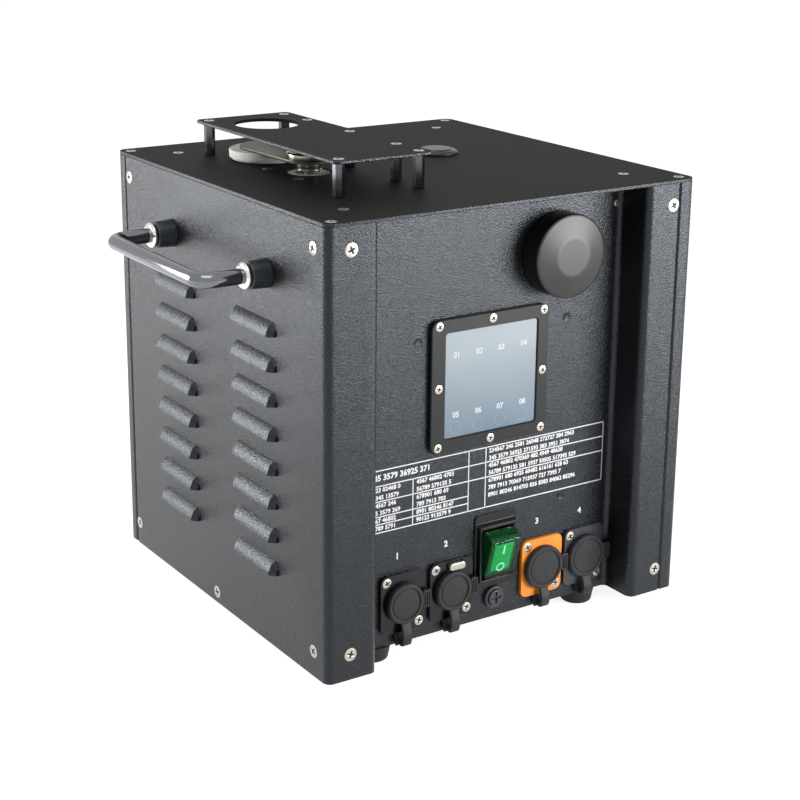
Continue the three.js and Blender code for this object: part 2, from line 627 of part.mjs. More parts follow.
// Swinging nozzle cap: shaft hub, arm, plug and clamp nut.
const armUnder = body.height + arm.underside;
const armTop = armUnder + arm.thickness;
const armOutline = [];
for (let i = 0; i <= rounds.hidden; i += 1) {
  const angle = (Math.PI * i) / rounds.hidden;
  armOutline.push([spark.x + arm.plugEnd * Math.cos(angle), sparkY + arm.plugEnd * Math.sin(angle)]);
}
for (let i = 0; i <= rounds.hidden; i += 1) {
  const angle = Math.PI + (Math.PI * i) / rounds.hidden;
  armOutline.push([spark.x + arm.hubEnd * Math.cos(angle), hubY + arm.hubEnd * Math.sin(angle)]);
}
add('cap_arm', prism(armOutline, 'z', armUnder, armTop), 0x33342f, 0.7, 0.4);
const grooveZ = body.height + hub.grooveZ;
const servoTop = lidUnder + servo.lip;
const hubFoot = body.height + hub.foot - clear.hole;
add('cap_hub', turned([
  [0, servoTop - hub.shaftDepth],
  [hub.shaft, servoTop - hub.shaftDepth],
  [hub.shaft, hubFoot],
  [hub.radius, hubFoot],
  [hub.radius, grooveZ - hub.grooveHalf],
  [hub.radius - hub.groove, grooveZ - hub.grooveHalf],
  [hub.radius - hub.groove, grooveZ + hub.grooveHalf],
  [hub.radius, grooveZ + hub.grooveHalf],
  [hub.radius, armUnder],
  [0, armUnder],
], 'z', [spark.x, hubY, 0], rounds.plain), 0xb9b8b4, 1, 0.25);
add('cap_arm_nut', turned([
  [0, armTop],
  [nut.radius, armTop],
  [nut.radius, armTop + nut.height - nut.edge],
  [nut.radius - nut.edge, armTop + nut.height],
  [nut.recess, armTop + nut.height],
  [nut.recess, armTop + nut.height - nut.recessDepth],
  [nut.screw, armTop + nut.height - nut.recessDepth],
  [nut.screw, armTop + nut.height - nut.recessDepth + nut.screwHeight],
  [0, armTop + nut.height - nut.recessDepth + nut.screwHeight],
], 'z', [spark.x, hubY, 0], rounds.plain), 0xd2d2cf, 1, 0.2);
const plugFoot = body.height + plug.lift;
add('cap_plug', turned([
  [0, plugFoot],
  [plug.stepRadius, plugFoot],
  [plug.stepRadius, plugFoot + plug.step],
  [plug.radius, plugFoot + plug.step],
  [plug.radius, armUnder - plug.edge],
  [plug.radius - plug.edge, armUnder],
  [0, armUnder],
], 'z', [spark.x, sparkY, 0], rounds.fine), 0xe9e8e3, 0, 0.4);
const servoBottom = servoTop - servo.height;
add('cap_servo', cut(join(
  box(spark.x - servo.halfWidth, spark.x + servo.halfWidth, servoFront, servoBack,
    servoBottom, lidUnder - clear.hole),
  box(spark.x - servo.halfWidth, spark.x + servo.halfWidth, servoFront - servo.ear, servoFront + servo.ear,
    lidUnder - clear.hole - servo.earThickness, lidUnder - clear.hole),
  rod(hub.boss, servoBottom + servo.lip, servoTop + servo.bossTop, 'z', [spark.x, hubY, 0], rounds.plain),
), rod(hub.shaft + hub.shaftClear, servoTop - hub.shaftDepth - clear.hole, body.height, 'z',
  [spark.x, hubY, 0], rounds.plain)), 0x8d8f92, 0.8, 0.4);

const blankTop = body.height + blank.height;
add('top_blanking_plug', turned([
  [0, lidUnder - blank.stemDepth],
  [blank.stem, lidUnder - blank.stemDepth],
  [blank.stem, body.height],
  [blank.radius, body.height],
  [blank.radius, blankTop - blank.stepDrop - blank.edge],
  [blank.radius - blank.edge, blankTop - blank.stepDrop],
  [blank.step, blankTop - blank.stepDrop],
  [blank.step - blank.edge, blankTop],
  [0, blankTop],
], 'z', [blankX, blankY, 0], rounds.plain), 0x1b1b1c, 0, 0.6);

// Spark path: nozzle, heated barrel and its jacket.
const nozzleTop = body.height - nozzle.top;
const nozzleOuter = nozzle.bore + nozzle.wall;
add('spark_nozzle', turned([
  [nozzle.bore, nozzleBottom],
  [nozzleOuter, nozzleBottom],
  [nozzleOuter, lidUnder - clear.hole - nozzle.flangeThickness],
  [nozzle.flange, lidUnder - clear.hole - nozzle.flangeThickness],
  [nozzle.flange, lidUnder - clear.hole],
  [nozzleOuter, lidUnder - clear.hole],
  [nozzleOuter, nozzleTop],
  [nozzle.bore, nozzleTop],
  [nozzle.bore, nozzleBottom],
], 'z', [spark.x, sparkY, 0], rounds.plain), 0xa8a49c, 1, 0.35);
add('heater_barrel', cut(
  tube(barrel.outer, barrel.inner, barrelBottom, nozzleBottom - clear.hole, 'z',
    [spark.x, sparkY, 0], rounds.plain),
  rod(auger.blade, spark.x, spark.x + barrel.outer + clear.cut, 'x', [0, sparkY, feed.z], rounds.hidden),
), 0x9c9a95, 1, 0.4);
const jacketProfile = [[jacket.inner, jacketBottom]];
for (let i = 0; i < jacket.bands; i += 1) {
  const span = (jacketTop - jacketBottom) / jacket.bands;
  const middle = jacketBottom + span * (i + 1 / 2);
  const start = jacketBottom + span * i;
  jacketProfile.push(
    [jacket.outer, start],
    [jacket.outer, middle - jacket.bandWidth / 2],
    [jacket.outer - jacket.bandDepth, middle - jacket.bandWidth / 2],
    [jacket.outer - jacket.bandDepth, middle + jacket.bandWidth / 2],
    [jacket.outer, middle + jacket.bandWidth / 2],
  );
}
jacketProfile.push([jacket.outer, jacketTop], [jacket.inner, jacketTop], [jacket.inner, jacketBottom]);
add('heater_jacket', turned(jacketProfile, 'z', [spark.x, sparkY, 0], rounds.hidden), 0xd8d2c2, 0, 0.9);

// Granule path: filler cap and neck, hopper, feed tube, auger and motor.
const capFront = panelFront - filler.protrusion;
const capRear = panelFront - clear.hole;
const fillerCentre = [outletX, 0, fillerZ];
const edgeArc = (radius, front, edge) => Array.from({ length: rounds.corner + 1 }, (_, i) => {
  const angle = (Math.PI / 2) * (i / rounds.corner);
  return [radius - edge + edge * Math.sin(angle), front + edge - edge * Math.cos(angle)];
});
add('filler_cap', turned([
  [0, capFront + filler.dish],
  [filler.radius * filler.dishShare, capFront + filler.dish],
  ...edgeArc(filler.radius, capFront, filler.edge),
  [filler.radius, capRear],
  [filler.cavity, capRear],
  [filler.cavity, capFront + filler.wall - clear.hole],
  [0, capFront + filler.wall - clear.hole],
], 'y', fillerCentre, rounds.fine), 0x161617, 0, 0.6);
const neckInside = panelBack + body.fit;
add('filler_neck', turned([
  [filler.neckBore, filler.neckFront + clear.hole],
  [filler.neck, filler.neckFront + clear.hole],
  [filler.neck, neckInside],
  [filler.neckFlange, neckInside],
  [filler.neckFlange, neckInside + filler.neckFlangeThickness],
  [filler.neck, neckInside + filler.neckFlangeThickness],
  [filler.neck, neckEnd],
  [filler.neckBore, neckEnd],
  [filler.neckBore, filler.neckFront + clear.hole],
], 'y', fillerCentre, rounds.plain), 0x8f9194, 0.9, 0.4);
const hopperRing = (x0, x1, y0, y1, z, corner, inset) => (
  roundedBox(x0 + inset, x1 - inset, y0 + inset, y1 - inset, corner).map(([u, v]) => [u, v, z]));
const hopperLoft = (inset, top, bottom) => loft([
  hopperRing(hopperLeft, hopperRight, hopper.front, hopperBack, top, hopper.corner - inset, inset),
  hopperRing(hopperLeft, hopperRight, hopper.front, hopperBack, shoulderZ, hopper.corner - inset, inset),
  hopperRing(outletX - hopper.outletHalf, outletX + hopper.outletHalf,
    sparkY - hopper.outletHalf, sparkY + hopper.outletHalf, bottom, hopper.wall, inset),
]);
add('hopper', cut(
  hopperLoft(0, hopperTop, outletZ),
  hopperLoft(hopper.wall, hopperTop - hopper.wall, outletZ),
  box(outletX - hopper.outletHalf + hopper.wall * 2, outletX + hopper.outletHalf - hopper.wall * 2,
    sparkY - hopper.outletHalf + hopper.wall * 2, sparkY + hopper.outletHalf - hopper.wall * 2,
    outletZ - clear.cut, outletZ + clear.cut * 2),
  rod(filler.neck + body.fit, hopper.front - clear.cut, hopper.front + hopper.wall + clear.cut, 'y',
    fillerCentre, rounds.plain),
), 0xa6a8aa, 0.9, 0.4);
const feedAxis = [0, sparkY, feed.z];
add('feed_tube', cut(
  join(
    rod(feed.outer, feedStart, feedEnd, 'x', feedAxis, rounds.plain),
    rod(feed.flange, feedEnd - feed.flangeThickness, feedEnd, 'x', feedAxis, rounds.plain),
    box(outletX - feed.inletHalf, outletX + feed.inletHalf,
      sparkY - feed.inletHalf, sparkY + feed.inletHalf, feed.z, outletZ - body.fit),
  ),
  rod(feed.bore, feedStart - clear.cut, feedEnd + clear.cut, 'x', feedAxis, rounds.plain),
  box(outletX - feed.inletBore, outletX + feed.inletBore,
    sparkY - feed.inletBore, sparkY + feed.inletBore, feed.z, outletZ + clear.cut),
  rod(feed.saddle, feed.z - feed.flange - clear.cut, feed.z + feed.flange + clear.cut, 'z',
    [spark.x, sparkY, 0], rounds.plain),
), 0x9fa1a4, 0.9, 0.4);
const turns = (augerEnd - augerStart) / auger.pitch;
const bladeRings = Array.from({ length: Math.round(turns * auger.turnSteps) + 1 }, (_, i) => {
  const angle = (2 * Math.PI * i) / auger.turnSteps;
  const x = augerStart + (auger.pitch * i) / auger.turnSteps;
  const at = (radius, offset) => [
    x + offset, sparkY + radius * Math.cos(angle), feed.z + radius * Math.sin(angle),
  ];
  const half = auger.thickness / 2;
  const root = auger.shaft / 2;
  return [at(root, -half), at(auger.blade, -half), at(auger.blade, half), at(root, half)];
});
add('feed_auger', join(
  loft(bladeRings),
  rod(auger.shaft, augerStart - auger.thickness, augerEnd + auger.thickness, 'x', feedAxis, rounds.coarse),
  rod(auger.spindle, augerStart, spindleEnd, 'x', feedAxis, rounds.coarse),
), 0xb4b5b7, 1, 0.3);
add('feed_motor', cut(join(
  rod(motor.radius, motorStart, motorStep, 'x', feedAxis, rounds.hidden),
  rod(motor.can, motorStep, motorEnd, 'x', feedAxis, rounds.hidden),
), rod(motor.shaftBore, motorStart - clear.cut, motorStart + motor.boreDepth, 'x', feedAxis, rounds.coarse)),
0x77797c, 0.9, 0.35);

// Blower under the barrel: scroll housing and impeller.
const scroll = (inset) => {
  const points = [
    [blowerX - blower.large + inset, blower.outlet + (inset > 0 ? clear.cut : 0)],
    [spark.x + blower.duct - inset, blower.outlet + (inset > 0 ? clear.cut : 0)],
  ];
  for (let i = 0; i <= blower.steps; i += 1) {
    const share = i / blower.steps;
    const angle = THREE.MathUtils.degToRad(blower.tongue - blower.sweep * share);
    const radius = blower.small + (blower.large - blower.small) * share - inset;
    points.push([blowerX + radius * Math.cos(angle), blower.z + radius * Math.sin(angle)]);
  }
  return points;
};
const blowerAxis = [blowerX, 0, blower.z];
add('blower_housing', cut(
  join(
    cut(
      join(
        prism(scroll(0), 'y', blowerFront, blowerBack),
        box(blowerX - blower.legHalf, blowerX - blower.legHalf + blower.legWidth,
          blowerFront, blowerBack, body.sheet + body.fit, blower.legTop),
        box(blowerX + blower.legHalf - blower.legWidth, blowerX + blower.legHalf,
          blowerFront, blowerBack, body.sheet + body.fit, blower.legTop),
      ),
      prism(scroll(blower.wall), 'y', blowerFront + blower.wall, blowerBack - blower.wall),
    ),
    rod(blower.bossRadius, blowerFront, blowerFront + blower.wall + blower.bossDepth, 'y',
      blowerAxis, rounds.hidden),
  ),
  rod(blower.inlet, blowerBack - blower.wall - clear.cut, blowerBack + clear.cut, 'y', blowerAxis,
    rounds.plain),
  rod(blower.spindleBore, spindleStart - clear.hole, discY + clear.cut, 'y',
    blowerAxis, rounds.coarse),
), 0x242527, 0, 0.5);
const vane = (i) => {
  const angle = (2 * Math.PI * i) / impeller.blades;
  const middle = (impeller.outer + impeller.inner) / 2;
  const halfLong = (impeller.outer - impeller.inner) / 2;
  const block = new THREE.BoxGeometry(halfLong * 2, impeller.length, impeller.bladeThickness);
  block.rotateY(Math.PI / 5);
  block.translate(middle, discY + impeller.length / 2, 0);
  block.rotateY(angle);
  block.translate(blowerX, 0, blower.z);
  return solid(block);
};
add('blower_impeller', join(
  rod(impeller.outer, discY, discY + impeller.disc, 'y', blowerAxis, rounds.hidden),
  Array.from({ length: impeller.blades }, (_, i) => vane(i)),
  tube(impeller.outer, impeller.inner, discY + impeller.length - impeller.ring,
    discY + impeller.length, 'y', blowerAxis, rounds.hidden),
  rod(impeller.eye, discY, discY + impeller.disc + impeller.eyeDepth, 'y',
    blowerAxis, rounds.coarse),
  rod(impeller.spindle, spindleStart, discY + impeller.disc, 'y', blowerAxis, rounds.coarse),
), 0x2e3033, 0, 0.5);

// Cooling fan on the back wall.
const fanBack = interiorBack - fan.wall;
const fanFront = fanBack - fan.depth;
const fanAxis = [fan.x, 0, fan.z];
const struts = [45, 135].map((degrees) => {
  const bar = new THREE.BoxGeometry(fan.bore * 2 + fan.strutHalf, fan.motorDepth, fan.strutHalf * 2);
  bar.rotateY(THREE.MathUtils.degToRad(degrees));
  bar.translate(fan.x, fanFront + fan.motorDepth / 2, fan.z);
  return solid(bar);
});
const screwPlaces = [[-1, -1], [-1, 1], [1, -1], [1, 1]];
add('cooling_fan_frame', cut(
  join(
    cut(
      prism(roundedBox(fan.x - fan.half, fan.x + fan.half, fan.z - fan.half, fan.z + fan.half, fan.corner),
        'y', fanFront, fanBack),
      rod(fan.bore, fanFront - clear.cut, fanBack + clear.cut, 'y', fanAxis, rounds.plain),
    ),
    struts,
    rod(fan.motorRadius, fanFront, fanFront + fan.motorDepth, 'y', fanAxis, rounds.hidden),
  ),
  rod(fan.spindle + fan.spindleClear, fanFront - clear.cut, fanFront + fan.motorDepth + clear.cut, 'y',
    fanAxis, rounds.coarse),
  screwPlaces.map(([u, v]) => rod(fan.screw, fanFront - clear.cut, fanBack + clear.cut, 'y',
    [fan.x + u * (fan.half - fan.corner), 0, fan.z + v * (fan.half - fan.corner)], rounds.corner * 2)),
), 0x1f2022, 0, 0.55);
const rotorFront = fanFront + fan.motorDepth + clear.hole;
const rotorMiddle = rotorFront + fan.hubDepth / 2;
const fanBlade = (i) => {
  const slope = THREE.MathUtils.degToRad(fan.pitchDegrees);
  const halfChord = fan.chord / 2;
  const halfThick = fan.bladeThickness / 2;
  const rings = [fan.bladeRoot, (fan.bladeRoot + fan.blade) / 2, fan.blade].map((radius, k) => {
    const lean = slope * (1 - k / 6);
    return [[-1, -1], [1, -1], [1, 1], [-1, 1]].map(([u, v]) => {
      const along = u * halfChord * Math.cos(lean) - v * halfThick * Math.sin(lean);
      const across = u * halfChord * Math.sin(lean) * fan.bladeHalf / halfChord + v * halfThick;
      return [radius, rotorMiddle + across, along];
    });
  });
  const turn = (2 * Math.PI * i) / fan.blades;
  const spun = rings.map((ring) => ring.map(([r, y, s]) => [
    fan.x + r * Math.cos(turn) - s * Math.sin(turn), y, fan.z + r * Math.sin(turn) + s * Math.cos(turn)]));
  return loft(spun);
};
add('cooling_fan_rotor', join(
  rod(fan.hub, rotorFront, rotorFront + fan.hubDepth, 'y', fanAxis, rounds.hidden),
  rod(fan.spindle, fanFront + clear.hole, rotorFront + clear.cut, 'y', fanAxis, rounds.coarse),
  Array.from({ length: fan.blades }, (_, i) => fanBlade(i)),
), 0x26272a, 0, 0.5);

// Power supply in its vented case.
const supplyFloor = body.sheet + body.fit;
const supplySlots = Array.from({ length: supplySlotRows }, (_, i) => {
  const y = supply.front + supply.slotInset + i * supply.slotPitch;
  return box(supplyLeft + supply.slotInset, supplyRight - supply.slotInset,
    y - supply.slotHalf, y + supply.slotHalf, supply.top - supply.wall - clear.cut, supply.top + clear.cut);
});
add('power_supply', cut(
  join(
    cut(
      box(supplyLeft, supplyRight, supply.front, supplyBack, supplyFloor, supply.top),
      box(supplyLeft + supply.wall, supplyRight - supply.wall, supply.front + supply.wall,
        supplyBack - supply.wall, supplyFloor + supply.wall, supply.top - supply.wall),
    ),
    box(supplyLeft + supply.slotInset, supplyRight - supply.slotInset, supply.front - supply.terminal,
      supply.front + supply.wall, supplyFloor, supplyFloor + supply.terminalHeight),
  ),
  supplySlots,
), 0xaeb1b4, 0.9, 0.4);

// Display: frame, window and the board behind.
const bezelFront = panelFront - bezel.thickness;
add('display_bezel', cut(
  prism(roundedBox(bezelLeft, bezelRight, bezelBottom, bezelTop, bezel.corner), 'y', bezelFront, panelFront),
  prism(roundedBox(glassLeft, glassRight, glassBottom, glassTop, glass.corner), 'y',
    bezelFront - clear.cut, panelFront + clear.cut),
), 0x1a1b1c, 0, 0.5);
add('display_window', prism(roundedBox(glassLeft + glass.clear, glassRight - glass.clear,
  glassBottom + glass.clear, glassTop - glass.clear, glass.corner), 'y', panelFront - glass.front, glassBack),
0xa9bccb, 0, 0.15);
const boardBack = boardFront + board.thickness;
const postPlaces = [
  [boardLeft + board.inset, boardBottom + board.inset],
  [boardRight - board.inset, boardBottom + board.inset],
  [boardLeft + board.inset, boardTop - board.inset],
  [boardRight - board.inset, boardTop - board.inset],
];
add('display_board', cut(
  join(
    prism(roundedBox(boardLeft, boardRight, boardBottom, boardTop, board.corner), 'y', boardFront, boardBack),
    postPlaces.map(([x, z]) => rod(board.post, panelBack + body.fit, boardBack, 'y', [x, 0, z], rounds.coarse)),
    board.parts.map(([x0, x1, z0, z1, tall]) => box(boardLeft + x0, boardLeft + x1,
      boardFront + board.thickness / 2, boardBack + tall, boardBottom + z0, boardBottom + z1)),
  ),
  postPlaces.map(([x, z]) => rod(board.postBore, panelBack, boardBack + clear.cut, 'y', [x, 0, z],
    rounds.corner * 2)),
), 0x1f5a3a, 0, 0.6);

// Sockets on the panel with their tethered rubber caps.
const flangeFront = panelFront - flange.thickness;
const socketShape = ({ x, kind, male }) => {
  const centre = [x, 0, kind.z];
  const ringFront = flangeFront - kind.ringHeight;
  const floor = ringFront + kind.floor;
  const low = kind.z - flange.halfHeight;
  const shell = cut(
    join(
      prism(roundedBox(x - flange.halfWidth, x + flange.halfWidth, low, kind.z + flange.halfHeight,
        flange.corner), 'y', flangeFront, panelFront),
      rod(kind.ring, ringFront, panelFront, 'y', centre, rounds.plain),
      rod(kind.body, panelFront - flange.thickness / 2, panelFront + kind.depth, 'y', centre, rounds.plain),
      prism([
        [panelFront, low + tongue.root],
        [panelFront - tongue.thickness, low + tongue.root],
        [cap.hingeY + cap.knuckle + tongue.gap, cap.hingeZ + cap.knuckle],
        [cap.hingeY + cap.knuckle + tongue.gap, cap.hingeZ - cap.knuckle],
        [panelFront, cap.hingeZ + cap.knuckle],
      ], 'x', x - tongue.halfWidth, x + tongue.halfWidth),
    ),
    rod(kind.mouth, ringFront - clear.cut, floor, 'y', centre, rounds.plain),
  );
  const around = Array.from({ length: pins.count }, (_, i) => {
    const angle = (2 * Math.PI * i) / pins.count - Math.PI / 2;
    return [x + pins.circle * Math.cos(angle), 0, kind.z + pins.circle * Math.sin(angle)];
  });
  if (male) {
    return join(shell, around.map((place) => rod(pins.radius, floor - pins.length, floor + clear.cut, 'y',
      place, rounds.corner * 2)));
  }
  const insertFront = ringFront + pins.insertLift;
  return join(shell, cut(
    rod(pins.insertRadius, insertFront, floor + clear.cut, 'y', centre, rounds.hidden),
    around.map((place) => rod(pins.hole, insertFront - clear.cut, insertFront + pins.holeDepth, 'y', place,
      rounds.corner * 2)),
  ));
};
const capShape = ({ x, kind, tab }) => {
  const centre = [x, 0, kind.z];
  const rear = flangeFront - body.fit;
  const front = panelFront - flange.thickness - cap.crown + cap.wall * 2;
  const inner = kind.ring + body.fit;
  const hollow = front + cap.lid;
  const grooveOut = kind.cap - cap.grooveIn;
  const grooveIn = grooveOut - cap.grooveWidth;
  const crown = turned([
    [0, front],
    [grooveIn, front],
    [grooveIn, front + cap.groove],
    [grooveOut, front + cap.groove],
    [grooveOut, front],
    [kind.cap - cap.edge, front],
    [kind.cap, front + cap.edge],
    [kind.cap, rear],
    [inner, rear],
    [inner, hollow],
    [0, hollow],
  ], 'y', centre, rounds.plain);
  const tabStart = x + kind.cap - cap.edge;
  const tabEnd = x + kind.cap + tab;
  const tabFront = front + cap.tabFront;
  const ribs = [1, 2].map((k) => {
    const at = tabStart + ((tabEnd - tabStart) * k) / 3 + cap.rib;
    return box(at - cap.rib / 2, at + cap.rib / 2, tabFront - cap.rib, tabFront + cap.rib,
      kind.z - cap.tabHalf + cap.edge * 2, kind.z + cap.tabHalf - cap.edge * 2);
  });
  const tabPlate = cut(
    prism(roundedBox(x, tabEnd, kind.z - cap.tabHalf, kind.z + cap.tabHalf, cap.edge * 2),
      'y', tabFront, tabFront + cap.tabThickness),
    rod(inner, front - clear.cut, rear + clear.cut, 'y', centre, rounds.plain),
  );
  const low = kind.z - kind.cap;
  const strapTop = low + cap.edge * 2;
  const strap = prism([
    [front + cap.edge, strapTop],
    [front + cap.edge - cap.bulge, low - (low - cap.hingeZ) / 3],
    [front + cap.edge - cap.bulge, low - ((low - cap.hingeZ) * 2) / 3],
    [cap.hingeY - cap.knuckle, cap.hingeZ],
    [cap.hingeY, cap.hingeZ],
    [cap.hingeY, cap.hingeZ + cap.knuckle],
    [front + cap.edge - cap.bulge + cap.strap * 1.2, low - ((low - cap.hingeZ) * 2) / 3],
    [front + cap.edge - cap.bulge + cap.strap, low - (low - cap.hingeZ) / 3],
    [front + cap.edge + cap.strap, strapTop],
  ], 'x', x - cap.strapHalf, x + cap.strapHalf);
  const knuckle = rod(cap.knuckle, x - cap.strapHalf, x + cap.strapHalf, 'x', [0, cap.hingeY, cap.hingeZ],
    rounds.coarse);
  return join(crown, tabPlate, ribs, strap, knuckle);
};
const latchPocket = box(
  latchX - latch.halfWidth - latch.clear, latchX + latch.halfWidth + latch.clear,
  flangeFront - clear.cut, latch.back + latch.travel + latch.clear,
  latch.z - latch.halfHeight - latch.clear, latch.z + latch.halfHeight + latch.clear);
const socketColors = { dmx_in: 0x1b1b1c, dmx_out: 0x1b1b1c, power_in: 0xe08a2c, power_out: 0x3a3c3f };
sockets.forEach((socket) => {
  const shape = socketShape(socket);
  add(`${socket.name}_socket`, socket.name === 'dmx_out' ? cut(shape, latchPocket) : shape,
    socketColors[socket.name], 0.1, 0.45);
  add(`${socket.name}_cap`, capShape(socket), 0x3b3c3f, 0, 0.75);
});
add('dmx_out_latch', prism(
  roundedBox(latchX - latch.halfWidth, latchX + latch.halfWidth, latch.z - latch.halfHeight,
    latch.z + latch.halfHeight, latch.corner), 'y', latch.front, latch.back), 0xc6c4bf, 1, 0.3);

// Power switch: fixed body, green rocker and the clear splash cap that rocks with it.
const frameFront = panelFront - rocker.frameFront;
const frameRing = (halfWidth, bottom, top, y) => [
  [switchX - halfWidth, y, bottom], [switchX + halfWidth, y, bottom],
  [switchX + halfWidth, y, top], [switchX - halfWidth, y, top],
];
const plateFront = panelFront - rocker.plate;
const blades = [-1, 1].flatMap((u) => [-1, 1].map((v) => box(
  switchX + u * rocker.bodyHalfWidth / 2 - rocker.terminalThickness / 2,
  switchX + u * rocker.bodyHalfWidth / 2 + rocker.terminalThickness / 2,
  rocker.bodyBack - clear.cut, rocker.bodyBack + rocker.terminalLength,
  rocker.z + v * rocker.bodyHalfHeight / 2 - rocker.terminal,
  rocker.z + v * rocker.bodyHalfHeight / 2 + rocker.terminal)));
add('switch_body', cut(
  join(
    prism(roundedBox(switchX - row.switchHalf, switchX + row.switchHalf,
      rocker.plateZ - rocker.plateHalfHeight, rocker.plateZ + rocker.plateHalfHeight, rocker.plateCorner),
    'y', plateFront, panelFront),
    loft([
      frameRing(rocker.frameBaseHalf, rocker.frameBottom, rocker.frameTop, plateFront + rocker.plate / 2),
      frameRing(rocker.frameHalf, rocker.frameBottom + rocker.frameInset / 2, rocker.frameTop - rocker.frameInset,
        frameFront),
    ]),
    box(switchX - rocker.bodyHalfWidth, switchX + rocker.bodyHalfWidth, plateFront, rocker.bodyBack,
      rocker.z - rocker.bodyHalfHeight, rocker.z + rocker.bodyHalfHeight),
    blades,
  ),
  box(switchX - rocker.openHalfWidth, switchX + rocker.openHalfWidth, frameFront - clear.cut,
    rocker.cavityBack,
    rocker.z - rocker.openHalfHeight, rocker.z + rocker.openHalfHeight),
), 0x151617, 0, 0.3);
const tilt = THREE.MathUtils.degToRad(rocker.tiltDegrees);
const rockerOutline = (radius, face, back) => {
  const span = Math.acos(face / radius);
  const rear = Math.acos(-back / radius);
  const points = [];
  [[span, rear], [-rear, -span]].forEach(([from, to]) => {
    for (let i = 0; i <= rounds.corner; i += 1) {
      const angle = from + ((to - from) * i) / rounds.corner;
      const forward = radius * Math.cos(angle);
      const up = radius * Math.sin(angle);
      points.push([
        rocker.y - forward * Math.cos(tilt) - up * Math.sin(tilt),
        rocker.z - forward * Math.sin(tilt) + up * Math.cos(tilt),
      ]);
    }
  });
  return points;
};
const rockerRing = (x, radius, face, back) => (
  rockerOutline(radius, face, back).map(([y, z]) => [x, y, z]));
const edgeCut = rocker.chamfer;
const capInnerHalf = rocker.capHalf - rocker.capWall;
const capInner = rocker.capRadius - rocker.capWall;
const capInnerFace = rocker.capFace - rocker.capWall;
add('switch_splash_cap', cut(
  loft([
    rockerRing(switchX - rocker.capHalf, rocker.capRadius - edgeCut, rocker.capFace - edgeCut, rocker.capBack),
    rockerRing(switchX - rocker.capHalf + edgeCut, rocker.capRadius, rocker.capFace, rocker.capBack),
    rockerRing(switchX + rocker.capHalf - edgeCut, rocker.capRadius, rocker.capFace, rocker.capBack),
    rockerRing(switchX + rocker.capHalf, rocker.capRadius - edgeCut, rocker.capFace - edgeCut, rocker.capBack),
  ]),
  prism(rockerOutline(capInner, capInnerFace, rocker.capBack + clear.cut), 'x',
    switchX - capInnerHalf, switchX + capInnerHalf),
), 0xbfe8cf, 0, 0.1, 0.35);
const coreClear = rocker.coreClear;
const core = prism(rockerOutline(capInner - coreClear, capInnerFace - coreClear - rocker.pad, rocker.coreBack),
  'x', switchX - capInnerHalf + coreClear, switchX + capInnerHalf - coreClear);
const padRadius = capInner - rocker.padInset;
const pad = prism(rockerOutline(padRadius, capInnerFace - coreClear, rocker.coreBack),
  'x', switchX - capInnerHalf + rocker.padInset, switchX + capInnerHalf - rocker.padInset);
add('switch_rocker', join(core, pad), 0x0c9a55, 0, 0.25);

// Fuse holder and its bayonet cap.
const fuseAxis = [fuseX, 0, fuse.z];
const fuseFront = panelFront - fuse.ringHeight;
add('fuse_holder', turned([
  [fuse.seat, fuseFront],
  [fuse.ring - fuse.edge, fuseFront],
  [fuse.ring, fuseFront + fuse.edge],
  [fuse.ring, panelFront],
  [fuse.body, panelFront],
  [fuse.body, panelFront + fuse.bodyLength],
  [0, panelFront + fuse.bodyLength],
  [0, fuseFront + fuse.boreDepth],
  [fuse.bore, fuseFront + fuse.boreDepth],
  [fuse.bore, fuseFront + fuse.seatDepth],
  [fuse.seat, fuseFront + fuse.seatDepth],
  [fuse.seat, fuseFront],
], 'y', fuseAxis, rounds.plain), 0x232426, 0, 0.5);
const knobFront = panelFront - fuse.knobFront;
const knobBack = fuseFront + fuse.seatDepth - fuse.clear;
add('fuse_cap', cut(
  turned([
    [0, knobFront],
    [fuse.knob - fuse.edge, knobFront],
    [fuse.knob, knobFront + fuse.edge],
    [fuse.knob, knobBack],
    [fuse.stem, knobBack],
    [fuse.stem, knobBack + fuse.stemLength],
    [0, knobBack + fuse.stemLength],
  ], 'y', fuseAxis, rounds.hidden),
  box(fuseX - fuse.slotReach, fuseX + fuse.slotReach, knobFront - clear.cut, knobFront + fuse.slotDepth,
    fuse.z - fuse.slotHalf, fuse.z + fuse.slotHalf),
  box(fuseX - fuse.slotHalf, fuseX + fuse.slotHalf, knobFront - clear.cut, knobFront + fuse.slotDepth,
    fuse.z - fuse.slotReach, fuse.z + fuse.slotReach),
), 0x2c2d30, 0, 0.5);

export default root;
